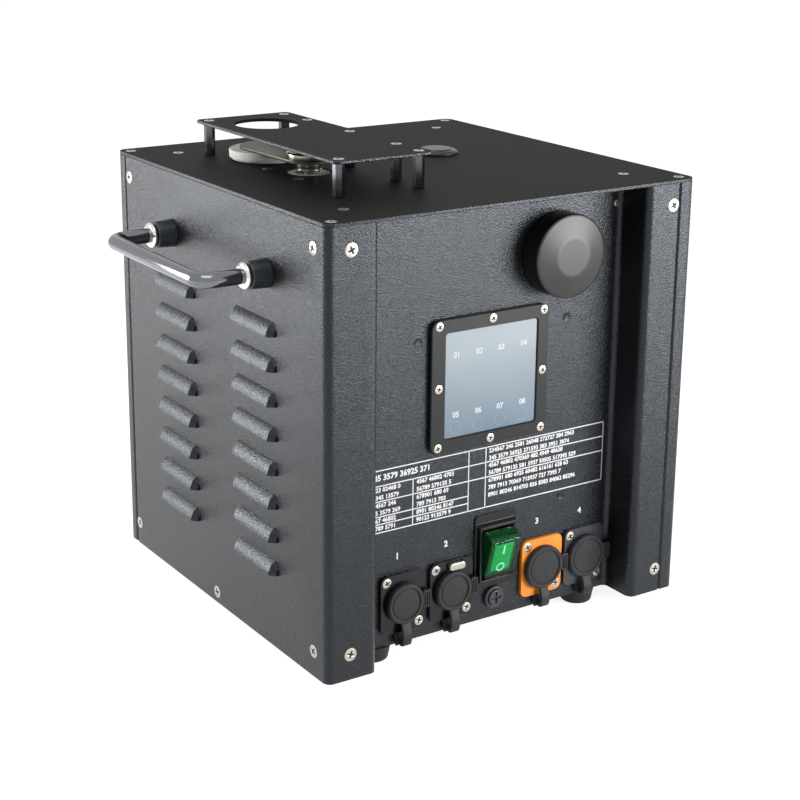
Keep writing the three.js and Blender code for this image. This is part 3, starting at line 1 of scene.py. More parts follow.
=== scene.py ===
import json
import math
import bmesh
import bpy
import numpy as np
from mathutils import Euler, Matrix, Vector

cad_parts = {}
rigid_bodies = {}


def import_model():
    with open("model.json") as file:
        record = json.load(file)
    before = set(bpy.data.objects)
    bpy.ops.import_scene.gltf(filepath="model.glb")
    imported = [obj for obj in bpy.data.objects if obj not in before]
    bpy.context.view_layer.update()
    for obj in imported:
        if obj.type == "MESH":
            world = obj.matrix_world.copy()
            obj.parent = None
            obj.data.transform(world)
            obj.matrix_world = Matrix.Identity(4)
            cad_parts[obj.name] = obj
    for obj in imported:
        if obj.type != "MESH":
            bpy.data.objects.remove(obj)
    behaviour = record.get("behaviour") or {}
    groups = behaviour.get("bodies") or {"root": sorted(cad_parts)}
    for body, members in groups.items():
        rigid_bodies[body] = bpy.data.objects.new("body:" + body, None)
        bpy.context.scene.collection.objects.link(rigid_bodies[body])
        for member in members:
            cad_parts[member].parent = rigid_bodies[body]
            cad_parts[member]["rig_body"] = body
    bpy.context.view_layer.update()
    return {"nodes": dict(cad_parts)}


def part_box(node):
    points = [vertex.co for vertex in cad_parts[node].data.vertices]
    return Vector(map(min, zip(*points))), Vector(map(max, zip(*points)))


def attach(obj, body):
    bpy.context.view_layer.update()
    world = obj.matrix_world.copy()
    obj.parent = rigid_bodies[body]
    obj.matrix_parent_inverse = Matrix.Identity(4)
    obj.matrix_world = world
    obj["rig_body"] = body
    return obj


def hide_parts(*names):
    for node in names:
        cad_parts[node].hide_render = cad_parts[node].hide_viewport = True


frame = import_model()
print("stage: frame loaded")

# Lengths are millimetres from the case's left face, front face and underside.
panel = 21.0  # how far the panel's face lies behind the front
lidLow, lidHigh = (np.array(corner) * 1000 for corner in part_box("top_plate"))
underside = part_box("bottom_tray")[0].z * 1000
wide, deep = (lidHigh - lidLow)[:2]
tall = lidHigh[2] - underside
originShift = np.array([lidLow[0], lidLow[1], underside])


# The case's millimetres moved to the frame's origin and divided by 1000.
def toFrame(points):
    return (np.asarray(points, float) + originShift) * 0.001


# The lowest and highest corner of a frame node, and the point between them.
def span(node):
    low, high = (np.array(corner) * 1000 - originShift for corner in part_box(node))
    return low, high, (low + high) / 2


# An sRGB hex colour made linear: a straight line up to 0.04045 and a power of 2.4 above it.
def toLinear(hexColour):
    channels = np.array([int(hexColour[i:i + 2], 16) for i in (1, 3, 5)]) / 255
    return np.where(channels <= 0.04045, channels / 12.92, ((channels + 0.055) / 1.055) ** 2.4).tolist()


# One node with its settings, by socket or by property, and its links.
def addNode(tree, kind, settings=None, links=None):
    node = tree.nodes.new(kind)
    for key, value in (settings or {}).items():
        if isinstance(key, int) or key in node.inputs:
            node.inputs[key].default_value = value
        else:
            setattr(node, key, value)
    for key, source in (links or {}).items():
        tree.links.new(source, node.inputs[key])
    return node


# A Principled material. Grained is (size, height, lowest and highest roughness, detail) and mottled is
# (size, dark, light), with sizes in mm.
def newFinish(name, colour, grained=None, mottled=None, specular=0.5, **settings):
    material = bpy.data.materials.new(name)
    material.use_nodes = True
    tree = material.node_tree
    shader = tree.nodes["Principled BSDF"]
    shader.inputs["Base Color"].default_value = (*toLinear(colour), 1)
    for key, value in {"Specular IOR Level": specular, **settings}.items():
        shader.inputs[key].default_value = value
    finish = (material, tree, shader, addNode(tree, "ShaderNodeTexCoord").outputs["Object"])
    if grained:
        grain(finish, *grained)
    if mottled:
        mottle(finish, *mottled)
    return finish


# Noise of one grain size in mm drives a bump of that height in mm and a roughness range.
def grain(finish, size, height, low, high, detail=2.0):
    material, tree, shader, place = finish
    noise = addNode(tree, "ShaderNodeTexNoise", {"Scale": 1000 / size, "Detail": detail}, {"Vector": place})
    share = noise.outputs["Fac"]
    bump = addNode(tree, "ShaderNodeBump", {"Strength": 1.0, "Distance": height * 0.001}, {"Height": share})
    tree.links.new(bump.outputs["Normal"], shader.inputs["Normal"])
    rough = addNode(tree, "ShaderNodeMapRange", {"To Min": low, "To Max": high}, {"Value": share})
    tree.links.new(rough.outputs["Result"], shader.inputs["Roughness"])


# Noise of one patch size in mm shifts the colour between two hex values.
def mottle(finish, size, dark, light):
    material, tree, shader, place = finish
    noise = addNode(tree, "ShaderNodeTexNoise", {"Scale": 1000 / size, "Detail": 3.0}, {"Vector": place})
    ramp = addNode(tree, "ShaderNodeValToRGB", links={"Fac": noise.outputs["Fac"]})
    for end, spot, colour in zip(ramp.color_ramp.elements, (0.3, 0.7), (dark, light)):
        end.position = spot
        end.color = (*toLinear(colour), 1)
    tree.links.new(ramp.outputs["Color"], shader.inputs["Base Color"])


# Polyester powder coat, sprayed as a fine leather texture: black, with a soft broken sheen. Its mottle
# follows the grain's noise at the same size and paints shade into the pits.
texturedCoat = newFinish("texturedPowderCoat", "#101215", (0.56, 0.2, 0.08, 0.4, 0.0),
                         (0.56, "#060708", "#1c1e22"), 0.4, **{"Specular Tint": (0.85, 0.92, 1, 1)})

# The lid and guard have the same paint, sprayed smoother.
smoothCoat = newFinish("satinPowderCoat", "#181817", (0.9, 0.1, 0.54, 0.72), (1.0, "#111110", "#20201e"),
                       0.06)

# Dark chromium plate on steel rod, wiped clean, so only faint smears break it.
chromePlate = newFinish("darkChromePlate", "#76787c", (9.0, 0.002, 0.05, 0.14), Metallic=1.0)

# Nickel plate on turned rings, polished bright.
brightRing = newFinish("polishedNickelRing", "#dedddb", (4.0, 0.002, 0.04, 0.12), Metallic=1.0)

# Turned collars in slate-coloured phenolic, satin from the tool.
satinCollar = newFinish("satinCollar", "#2d3238", (1.2, 0.003, 0.2, 0.32), specular=0.6)

# Injection moulded EPDM, a matt bloom with a fine grain, coarser on the feet.
capRubber = newFinish("socketCapRubber", "#26272a", (0.35, 0.012, 0.5, 0.64), (3.5, "#212225", "#2b2c2f"),
                      0.3)
footRubber = newFinish("footRubber", "#1d1d1c", (0.6, 0.02, 0.6, 0.8), (2.5, "#181817", "#242422"), 0.35)

# Black nickel on hexagonal brass, a dark and slightly blurred mirror.
blackNickel = newFinish("blackNickelPlate", "#66676b", (2.5, 0.001, 0.14, 0.22), Metallic=1.0)

# Steel strip, browned unevenly by heat and oil.
armSteel = newFinish("brownedSteelStrip", "#4a4a42", (1.4, 0.006, 0.34, 0.5), (7.0, "#3c3c35", "#57574e"),
                     Metallic=0.9)

# Turned steel, bright, with its tool marks left as a slight blur.
turnedSteel = newFinish("turnedSteel", "#aaa597", (1.5, 0.001, 0.14, 0.24), Metallic=1.0)

# Pressed white ceramic fibre, dull and slightly chalky.
plugCeramic = newFinish("pressedCeramic", "#f0eee9", (0.5, 0.01, 0.5, 0.7), (5.0, "#e6e4de", "#f6f5f1"),
                        0.3)

# ABS moulded in a spark-eroded tool: fine even grain, soft highlight.
grainedAbs = newFinish("grainedAbs", "#151516", (0.4, 0.01, 0.28, 0.42), (6.0, "#131314", "#19191a"), 0.45)

# Polycarbonate front plate, flat and satin.
satinPlate = newFinish("satinPolycarbonate", "#121315", (0.6, 0.05, 0.26, 0.44, 1.0), specular=0.3)

# Glass-filled nylon shells with a slight gloss.
glossNylon = newFinish("glossNylon", "#0e0e10", (1.5, 0.006, 0.16, 0.28), specular=0.35)
orangeNylon = newFinish("orangeNylon", "#ef8a22", (1.0, 0.01, 0.36, 0.5), (5.0, "#e9801c", "#f4962e"))
greyNylon = newFinish("greyNylon", "#2c2e32", (1.0, 0.01, 0.34, 0.48), (5.0, "#27292c", "#33353a"))

# Nickel plate on small steel parts, softly bright, and painted shade for the inside of a screw's cross.
nickelPlate = newFinish("nickelPlate", "#b3afa6", (0.8, 0.006, 0.2, 0.38), Metallic=1.0)
recessShade = newFinish("paintedRecessShade", "#26241f", (0.5, 0.01, 0.4, 0.6), Metallic=0.7)

# Screen printing ink: matt and nearly white on the paint, dimmer on the window.
printInk = newFinish("screenPrintInk", "#eeefef", (0.3, 0.004, 0.6, 0.75), (0.8, "#e4e5e6", "#f6f6f7"))
faintInk = newFinish("paleScreenInk", "#cdd4d8", (0.3, 0.003, 0.5, 0.7))
keyInk = newFinish("dimScreenInk", "#7f95a4", (0.3, 0.003, 0.5, 0.7))

# Moulded translucent polycarbonate: a deep green key and white marks. The key's face is the same green
# painted brighter, as painted light where the light falls on it.
rockerGreen = newFinish("greenPolycarbonate", "#023a1e", (2.5, 0.003, 0.16, 0.28), specular=0.12,
    **{"Subsurface Weight": 0.15, "Subsurface Scale": 0.002, "Coat Weight": 0.1, "Coat Roughness": 0.08})
litFaceGreen = newFinish("litGreenPolycarbonate", "#05a05e", (2.5, 0.003, 0.2, 0.3), specular=0.15,
    **{"Subsurface Weight": 0.2, "Subsurface Scale": 0.002, "Coat Weight": 0.1, "Coat Roughness": 0.1})
whiteMark = newFinish("whiteMoulding", "#f2f5f0", (0.5, 0.003, 0.4, 0.5))

# Soft clear PVC, tinted pale green. It hardly bends light, so that the key shows through.
clearBoot = newFinish("clearSoftPvc", "#b4e8cc", (4.0, 0.001, 0.01, 0.04),
    **{"Transmission Weight": 1.0, "IOR": 1.05, "Coat Weight": 0.22, "Coat Roughness": 0.04})


# Acrylic, back-painted grey-blue. Its colour runs from pale grey-blue at the top to a deeper one below, by
# the height z
# in metres, as painted light: a sheen that is lighter at the top. Broad patches 24 mm wide stir it.
windowAcrylic = newFinish("displayAcrylic", "#8696a4", Roughness=0.22,
                          **{"Coat Weight": 0.5, "Coat Roughness": 0.08})
material, tree, shader, place = windowAcrylic
split = addNode(tree, "ShaderNodeSeparateXYZ", links={"Vector": place})
low, high = (corner.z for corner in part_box("display_window"))
share = addNode(tree, "ShaderNodeMapRange", {"From Min": low, "From Max": high},
                {"Value": split.outputs["Z"]})
cloud = addNode(tree, "ShaderNodeTexNoise", {"Scale": 1000 / 24, "Detail": 1.0}, {"Vector": place})
mixed = addNode(tree, "ShaderNodeMath", {"operation": "MULTIPLY_ADD", 1: 0.3}, {
    0: cloud.outputs["Fac"], 2: share.outputs["Result"]})
ramp = addNode(tree, "ShaderNodeValToRGB", links={"Fac": mixed.outputs["Value"]})
# The ramp's two colours paint the sheen: the light one at the top, the deep one at the bottom.
for end, spot, colour in zip(ramp.color_ramp.elements, (0.1, 1.0), ("#5d7385", "#98a3ab")):
    end.position = spot
    end.color = (*toLinear(colour), 1)
tree.links.new(ramp.outputs["Color"], shader.inputs["Base Color"])

# Inside the case: zinc-coated sheet with its spangle, stainless tube, glass cloth, a circuit
# board's green mask, and the dull metal cases of the motor and the servo.
zincSheet = newFinish("galvanisedSheet", "#b6babd", (6.0, 0.004, 0.3, 0.5), (9.0, "#a2a6aa", "#c6cacc"),
                      Metallic=1.0)
stainless = newFinish("drawnStainless", "#b1aea8", (0.8, 0.004, 0.24, 0.4), Metallic=1.0)
glassCloth = newFinish("glassClothLagging", "#d7cfba", (1.2, 0.12, 0.8, 0.95), (4.0, "#c9c0a8", "#e2dbc8"))
solderMask = newFinish("solderMask", "#1c5a38", (1.0, 0.01, 0.3, 0.5), (2.4, "#174c2f", "#236a43"))
motorCan = newFinish("darkZincCan", "#9a9ca0", (1.0, 0.005, 0.3, 0.45), Metallic=1.0)
servoCast = newFinish("castServoCase", "#8f9194", (1.0, 0.02, 0.4, 0.55), Metallic=0.8)
print("stage: finishes made")


# Shells are (points, faces) pairs; each is merged where its points meet and faced outwards.
def makePiece(name, shells, body, finish, slot=None, replaces=(), sharp=35.0, marks=None):
    mesh = bpy.data.meshes.new(name)
    start, points, faces = 0, [], []
    for shellPoints, shellFaces in shells:
        points.append(np.asarray(shellPoints, float).reshape(-1, 3))
        faces += [[int(i) + start for i in face] for face in shellFaces]
        start += len(points[-1])
    mesh.from_pydata(toFrame(np.concatenate(points)).tolist(), [], faces)
    for f in finish if isinstance(finish, list) else [finish]:
        mesh.materials.append(f[0])
    if marks is not None:
        mesh.polygons.foreach_set("material_index", np.asarray(marks, np.int32))
    shape = bmesh.new()
    shape.from_mesh(mesh)
    bmesh.ops.remove_doubles(shape, verts=shape.verts, dist=2e-7)
    bmesh.ops.dissolve_degenerate(shape, edges=shape.edges, dist=1e-8)
    bmesh.ops.recalc_face_normals(shape, faces=shape.faces)
    shaded(shape, sharp)
    shape.to_mesh(mesh)
    shape.free()
    return placed(name, mesh, body, replaces)


# A node's name in camelCase.
def camelName(node):
    first, *others = node.split("_")
    return first + "".join(word.capitalize() for word in others)


# A piece that takes the place of one node, with its name and its body.
def dressed(node, shells, finish, slot, **options):
    body = frame["nodes"][node]["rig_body"]
    return makePiece(camelName(node), shells, body, finish, slot, [node], **options)


# The mesh as an object at the origin that rides its body.
def placed(name, mesh, body, replaces):
    piece = bpy.data.objects.new(name, mesh)
    bpy.context.scene.collection.objects.link(piece)
    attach(piece, body)
    if replaces:
        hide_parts(*replaces)
    return piece


# Faces smooth, and edges sharp where their faces meet at more than the given angle.
def shaded(shape, sharp):
    limit = math.radians(sharp)
    for face in shape.faces:
        face.smooth = True
    for edge in shape.edges:
        edge.smooth = len(edge.link_faces) != 2 or edge.calc_face_angle(0) < limit


# The points of a unit circle: (cos, sin) of each angle.
def onCircle(angle):
    return np.stack([np.cos(angle), np.sin(angle)], -1)


# Quads of a rows by columns grid of points, numbered row by row.
def gridFaces(rows, columns, wrapRows=False, wrapColumns=True):
    r = np.arange(rows if wrapRows else rows - 1)
    c = np.arange(columns if wrapColumns else columns - 1)
    r, c = np.meshgrid(r, c, indexing="ij")
    r, c = r.ravel(), c.ravel()
    nextR, nextC = (r + 1) % rows, (c + 1) % columns
    return np.stack([r * columns + c, r * columns + nextC, nextR * columns + nextC, nextR * columns + c], 1)


# Each corner of the outline becomes a curve that leaves and meets its two sides radius away.
def softened(corners, radius, steps=4, closed=False):
    corners = np.asarray(corners, float)
    before, after = (np.roll(corners, step, 0) - corners for step in (1, -1))
    lengths = [np.linalg.norm(side, axis=1, keepdims=True) for side in (before, after)]
    reach = np.minimum(radius, 0.45 * np.minimum(*lengths))
    enter = corners + before / np.maximum(lengths[0], 1e-9) * reach
    leave = corners + after / np.maximum(lengths[1], 1e-9) * reach
    t = np.linspace(0, 1, steps + 1)[None, :, None]
    curve = enter[:, None] * (1 - t) ** 2 + 2 * corners[:, None] * t * (1 - t) + leave[:, None] * t ** 2
    if closed:
        return curve.reshape(-1, corners.shape[1])
    return np.concatenate([corners[:1], curve[1:-1].reshape(-1, corners.shape[1]), corners[-1:]])


axisFrames = {  # two directions across each axis, then the axis
    "x": np.array([[0, 1, 0], [0, 0, 1], [1, 0, 0]], float),
    "y": np.array([[1, 0, 0], [0, 0, 1], [0, 1, 0]], float),
    "z": np.array([[1, 0, 0], [0, 1, 0], [0, 0, 1]], float),
}


# A profile of (radius, distance along the axis) carried round that axis.
def turned(profile, axis, centre, segments=72, soft=0.0, closed=False):
    profile = softened(profile, soft, closed=closed) if soft else np.asarray(profile, float)
    angle = np.linspace(0, 2 * np.pi, segments, endpoint=False)
    across, up, along = axisFrames[axis]
    ring = np.cos(angle)[:, None] * across + np.sin(angle)[:, None] * up
    points = profile[:, None, :1] * ring[None] + profile[:, None, 1:2] * along + np.asarray(centre, float)
    return points, gridFaces(len(profile), segments, wrapRows=closed)


# The same closed loop with extra points, so that none lie further apart than the spacing.
def evened(loop, spacing):
    closed = np.vstack([loop, loop[:1]])
    length = np.concatenate([[0], np.cumsum(np.linalg.norm(np.diff(closed, axis=0), axis=1))])
    marks = np.unique(np.round(np.concatenate([length[:-1], np.arange(0, length[-1], spacing)]), 4))
    marks = marks[:-1] if length[-1] - marks[-1] < spacing * 0.02 else marks
    return np.stack([np.interp(marks, length, closed[:, k]) for k in (0, 1)], 1)


# A rectangle with round corners, as points in order.
def roundedLoop(x0, x1, y0, y1, radius, steps=8):
    angle = np.radians(np.array([-90, 0, 90, 180])[:, None] + np.linspace(0, 90, steps + 1)[None])
    middle = np.array([[x1 - radius, y0 + radius], [x1 - radius, y1 - radius],
                       [x0 + radius, y1 - radius], [x0 + radius, y0 + radius]])
    return (middle[:, None] + radius * onCircle(angle)).reshape(-1, 2)


# Loops of plane points set at their levels along an axis and skinned; the ends are fanned shut.
def stacked(loops, levels, axis, closed=False):
    across, up, along = axisFrames[axis]
    rows = [loop[:, :1] * across + loop[:, 1:2] * up + level * along for loop, level in zip(loops, levels)]
    count = len(loops[0])
    if closed:
        return np.stack(rows), gridFaces(len(rows), count, wrapRows=True)
    first = np.repeat(rows[0].mean(0)[None], count, 0)
    last = np.repeat(rows[-1].mean(0)[None], count, 0)
    return np.stack([first, *rows, last]), gridFaces(len(rows) + 2, count)


# A quarter round: drawn in by edge (1 - sin turn) where it has risen by edge (1 - cos turn).
def rolledEdge(edge, steps):
    turn = np.linspace(0, np.pi / 2, steps)
    return edge * (1 - np.sin(turn)), edge * (1 - np.cos(turn))


# A plate with round corners whose edges roll over as quarter rounds.
def roundedSlab(x0, x1, y0, y1, low, high, axis, corner, edge, steps=8):
    inset, rise = rolledEdge(edge, 5)
    loops = [roundedLoop(x0 + i, x1 - i, y0 + i, y1 - i, max(corner - i, 0.05), steps) for i in inset]
    levels = list(low + rise) + list(high - rise[::-1])
    return stacked(loops + loops[::-1], levels, axis)


# A closed section of (side, up) offsets carried along a path: point + side s + up u, ends fanned.
def carried(section, path, sides, ups):
    path, sides, ups = (np.asarray(a, float) for a in (path, sides, ups))
    rows = path[:, None] + section[None, :, :1] * sides[:, None] + section[None, :, 1:2] * ups[:, None]
    ends = [np.repeat(rows[i].mean(0)[None, None], len(section), 1) for i in (0, -1)]
    rows = np.concatenate([ends[0], rows, ends[1]])
    return rows, gridFaces(len(rows), len(section))


# A curve through all the points: Catmull-Rom, whose pieces are cubics in the share t.
def smoothPath(points, count):
    points = np.asarray(points, float)
    padded = np.concatenate([2 * points[:1] - points[1:2], points, 2 * points[-1:] - points[-2:-1]])
    s = np.linspace(0, len(points) - 1, count)
    i = np.minimum(s.astype(int), len(points) - 2)
    t = (s - i)[:, None]
    a, b, c, d = padded[i], padded[i + 1], padded[i + 2], padded[i + 3]
    cubic = (3 * b - a - 3 * c + d) * t ** 3
    return 0.5 * (2 * b + (c - a) * t + (2 * a - 5 * b + 4 * c - d) * t ** 2 + cubic)


# The node's own shape, merged, with its flat facets smoothed and its edges rounded by a bevel.
# A second finish can take what lies below a level, or the faces that don't look up or down. Shaved
# brings the front and back faces in by that much.
def finished(node, finish, rounded=0.0, sharp=32.0, below=None, edges=None, shaved=0.0):
    source = frame["nodes"][node]
    name = camelName(node) + "Finished"
    mesh = source.data.copy()
    mesh.name = name
    mesh.materials.clear()
    mesh.materials.append(finish[0])
    if below or edges:
        mesh.materials.append(below[1][0] if below else edges[0])
    if "custom_normal" in mesh.attributes:
        mesh.attributes.remove(mesh.attributes["custom_normal"])
    shape = bmesh.new()
    shape.from_mesh(mesh)
    bmesh.ops.remove_doubles(shape, verts=shape.verts, dist=2e-6)
    if rounded:
        flat = math.radians(0.5)
        bmesh.ops.dissolve_limit(shape, angle_limit=flat, verts=shape.verts, edges=shape.edges)
    if shaved:
        shape.to_mesh(mesh)
        points = np.zeros(len(mesh.vertices) * 3)
        mesh.vertices.foreach_get("co", points)
        front, back = toFrame((0, shaved, 0))[1], toFrame((0, deep - shaved, 0))[1]
        points[1::3] = np.clip(points[1::3], front, back)
        mesh.vertices.foreach_set("co", points)
        shape.clear()
        shape.from_mesh(mesh)
    shape.normal_update()
    for face in shape.faces:
        lower = bool(below) and face.calc_center_median().z < below[0]
        face.material_index = int(lower or (bool(edges) and abs(face.normal.z) < 0.6))
    shaded(shape, sharp)
    shape.to_mesh(mesh)
    shape.free()
    piece = placed(name, mesh, source["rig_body"], [node])
    if rounded:
        bevel = piece.modifiers.new("edgeRound", "BEVEL")
        bevel.width = rounded * 0.001
        bevel.segments = 2
        bevel.limit_method = "ANGLE"
        bevel.angle_limit = math.radians(40)


# Screws first, because a plate's face is lowered by the height of the heads that stand on it.
screw = dict(dome=0.3, rim=0.04, recess=0.26, skirt=0.3, wingShare=0.62, wingWidth=0.15,
             wingTaper=1.25, blend=0.07, shadeShare=0.45, firstTurn=0.4, nextTurn=2.4, rings=14, segments=56)
headRadius = dict(column=3.3, side=3.2, lid=2.7, panel=1.8, bezel=2.2, socket=2.5)
headHeight = screw["dome"] + screw["rim"]

# Sheet metal
for node in ("front_left_wrap", "back_right_wrap"):
    finished(node, texturedCoat, shaved=headHeight)
finished("top_plate", smoothCoat, rounded=0.35, edges=texturedCoat)
finished("bottom_tray", smoothCoat)

guard = dict(corner=3.0, hole=16.75, edge=0.35, loopSteps=8, spacing=1.6)


# Loops of points: the hole's circle and the plate's outline, each at the plate's top and underside.
def guardShell():
    low, high, middle = span("guard_plate")
    holePlace = span("spark_nozzle")[2][:2]
    outline = roundedLoop(low[0], high[0], low[1], high[1], guard["corner"], guard["loopSteps"])
    outline = evened(outline, guard["spacing"])
    angle = np.arctan2(*(outline - holePlace).T[::-1])
    around = onCircle(angle)
    edge = guard["edge"]
    inward = outline - np.sign(outline - middle[:2]) * edge
    flared = holePlace + (guard["hole"] + edge) * around
    bore = holePlace + guard["hole"] * around
    loops = [flared, inward, outline, outline, inward, flared, bore, bore]
    under, top = low[2], high[2] - headHeight
    levels = [under, under, under + edge, top - edge, top, top, top - edge, under + edge]
    return stacked(loops, levels, "z", closed=True)


guardSurface = guardShell()
guardMarks = np.repeat([0, 1, 1, 1, 0, 0, 0, 0], len(guardSurface[1]) // 8)
dressed("guard_plate", [guardSurface], [smoothCoat, texturedCoat], "satin_black_paint", sharp=30,
        marks=guardMarks)
print("stage: sheet metal")


# Height over a disc: rim + dome (1 - s^2), less a recess where either |u| or |v| is small.
def screwHeads(name, places, axis, outward, radius):
    s = np.concatenate([np.linspace(0, 1, screw["rings"]), [1.0, 1.0]])
    angle = np.linspace(0, 2 * np.pi, screw["segments"], endpoint=False)
    u, v = s[:, None] * np.cos(angle), s[:, None] * np.sin(angle)
    w, reach = screw["wingWidth"], screw["wingShare"]
    step = lambda x: np.clip(x / screw["blend"] + 0.5, 0, 1)
    wing = lambda p, q: step(w * (screw["wingTaper"] - np.abs(q)) - np.abs(p)) * step(reach - np.abs(q))
    cross = np.maximum(wing(u, v), wing(v, u))
    height = screw["rim"] + screw["dome"] * (1 - s[:, None] ** 2) - screw["recess"] * cross
    height[-2:] = -screw["skirt"]
    u[-1], v[-1] = 0, 0
    flat = np.stack([u * radius, v * radius, height], -1)
    faces = gridFaces(len(s), screw["segments"])
    # Faces that lie mostly in the cross take the painted shade.
    dark = cross.ravel()[faces].mean(1) > screw["shadeShare"]
    across, up, along = axisFrames[axis]
    along = along * outward
    shells, marks = [], []
    for i, place in enumerate(places):
        turn = screw["nextTurn"] * i + screw["firstTurn"]
        a = math.cos(turn) * across + math.sin(turn) * up
        b = -math.sin(turn) * across + math.cos(turn) * up
        head = flat[..., :1] * a + flat[..., 1:2] * b + flat[..., 2:] * along
        shells.append((head + np.array(place), faces))
        marks.append(dark.astype(int))
    return makePiece(name, shells, "chassis", [nickelPlate, recessShade], "bright_latch", sharp=60,
                     marks=np.concatenate(marks))


frontScrews = [(13, 209), (13, 13), (202.2, 209), (202.6, 12.7)]
sideScrews = [(12.1, 209), (203.0, 209.2), (203.6, 12.4), (110.7, 5.9), (12.7, 13)]
topScrews = [(4.6, 209.5), (23.9, 192.2), (23.3, 23.9), (5.0, 4.6), (209.6, 211.3), (189.7, 191.7),
             (190.2, 25.8), (209.2, 5.6), (41.8, 127.6), (42.0, 96.6)]
screwHeads("frontColumnScrews", [(x, headHeight, z) for x, z in frontScrews], "y", -1, headRadius["column"])
for word, x, outward in (("left", 0, -1), ("right", wide, 1)):
    places = [(x, y, z) for y, z in sideScrews]
    screwHeads(word + "SideScrews", places, "x", outward, headRadius["side"])
backScrews = [(x, deep - headHeight, z) for x in (13, wide - 13) for z in (13, 209)]
screwHeads("backScrews", backScrews, "y", 1, headRadius["side"])
screwHeads("lidScrews", [(x, y, tall) for x, y in topScrews], "z", 1, headRadius["lid"])
screwHeads("panelScrew", [(183.0, panel, 208.6)], "y", -1, headRadius["panel"])
guardTop = span("guard_plate")[1][2] - headHeight
standoffs = [f"guard_standoff_{i}" for i in range(1, 8)]
standoffPlaces = [span(node)[2][:2] for node in standoffs]
screwHeads("guardScrews", [(x, y, guardTop) for x, y in standoffPlaces], "z", 1, headRadius["lid"])
print("stage: screws")

# Carrying handles
handle = dict(rod=3.8, bend=8.0, collarBase=7.2, collarTop=6.6, bore=3.95, ringStart=10.2,
              ringEnd=13.2, ring=6.5)


# A round section carried out from the wall, round two quarter bends and back, and a ring on each leg.
def handleShells(node, side, wall):
    low, high, middle = span(node)
    reach = high[0] - low[0] - handle["rod"]
    front, back = (span(node.replace("bar", end + "_collar"))[2][1] for end in ("front", "back"))
    straight = reach - handle["bend"]
    angle = np.linspace(0, np.pi / 2, 13)
    lead = np.linspace(0, straight, 6)[:-1]
    out = np.concatenate([lead, straight + handle["bend"] * np.sin(angle)])
    along = np.concatenate([0 * lead, handle["bend"] * (1 - np.cos(angle))])
    heading = np.concatenate([0 * lead, angle])
    x = wall + side * np.concatenate([out, out[::-1]])
    y = np.concatenate([front + along, back - along[::-1]])
    heading = np.concatenate([heading, np.pi - heading[::-1]])
    sides = np.stack([-side * np.sin(heading), np.cos(heading), 0 * heading], 1)
    path = np.stack([x, y, np.full_like(x, middle[2])], 1)
    turn = np.linspace(0, 2 * np.pi, 32, endpoint=False)
    section = handle["rod"] * onCircle(turn)
    shells = [carried(section, path, sides, np.tile([0, 0, 1.0], (len(path), 1)))]
    near, far, ring = handle["ringStart"], handle["ringEnd"], handle["ring"]
    profile = [(0, near), (ring - 0.9, near), (ring, near + 1), (ring, far - 1), (ring - 0.9, far), (0, far)]
    profile = [(radius, side * level) for radius, level in profile]
    return shells + [turned(profile, "x", (wall, leg, middle[2]), 56, 0.5) for leg in (front, back)]


# A collar's profile: a slow taper from the wall to an eased outer end.
def collarShell(node, side, wall):
    low, high, middle = span(node)
    length, base, top, bore = high[0] - low[0], handle["collarBase"], handle["collarTop"], handle["bore"]
    profile = [(bore, 0), (base, 0), (base, 0.6), (top, length - 0.3), (top - 0.4, length), (bore, length)]
    profile = [(radius, side * level) for radius, level in profile]
    return turned(profile, "x", (wall, middle[1], middle[2]), 56, 0.35, closed=True)


for word, side, wall in (("left", -1, 0.0), ("right", 1, wide)):
    bar = word + "_handle_bar"
    shells = handleShells(bar, side, wall)
    marks = np.repeat([0, 1, 1], [len(faces) for points, faces in shells])
    dressed(bar, shells, [chromePlate, brightRing], "chrome_plate", sharp=50, marks=marks)
    for end in ("front", "back"):
        collar = f"{word}_handle_{end}_collar"
        dressed(collar, [collarShell(collar, side, wall)], satinCollar, "dark_gloss_collar", sharp=50)
print("stage: handles")

# Top: standoffs, nozzle cap, blanking plug
standoff = dict(acrossFlats=5.0, chamfer=0.45, endShare=0.9)


# Six-sided loops that draw in at each end as a chamfer.
def standoffShell(node):
    low, high, middle = span(node)
    turn = np.radians(np.arange(6) * 60 + 30)
    full, c = standoff["acrossFlats"] / math.sqrt(3), standoff["chamfer"]
    small = full * standoff["endShare"]
    loops = [middle[:2] + radius * onCircle(turn) for radius in (small, full, full, small)]
    return stacked(loops, [low[2], low[2] + c, high[2] - c, high[2]], "z")


for node in standoffs:
    dressed(node, [standoffShell(node)], blackNickel, "black_nickel", sharp=20)

arm = dict(edge=0.2)
armLow, armHigh, armMiddle = span("cap_arm")
hubPlace, plugPlace = span("cap_hub")[2], span("cap_plug")[2]


# A slot outline: half circles round the plug and the hub, joined by straight sides.
def armShell():
    half = np.linspace(0, np.pi, 33)
    plugEnd, hubEnd = armHigh[1] - plugPlace[1], hubPlace[1] - armLow[1]
    far = plugPlace[:2] + plugEnd * onCircle(half)
    near = hubPlace[:2] - hubEnd * onCircle(half)
    outline = np.concatenate([far, near])
    aim = outline - armMiddle[:2]
    edge, low, high = arm["edge"], armLow[2], armHigh[2]
    inner = outline - aim / np.linalg.norm(aim, axis=1, keepdims=True) * edge
    return stacked([inner, outline, outline, inner], [low, low + edge, high - edge, high], "z")


dressed("cap_arm", [armShell()], armSteel, "dark_arm_steel", sharp=30)


# A profile of (radius, height above the lid) turned about a node's middle.
def turnedOnLid(node, profile, soft, segments=80, closed=False):
    return [turned(profile, "z", (*span(node)[2][:2], tall), segments, soft, closed)]


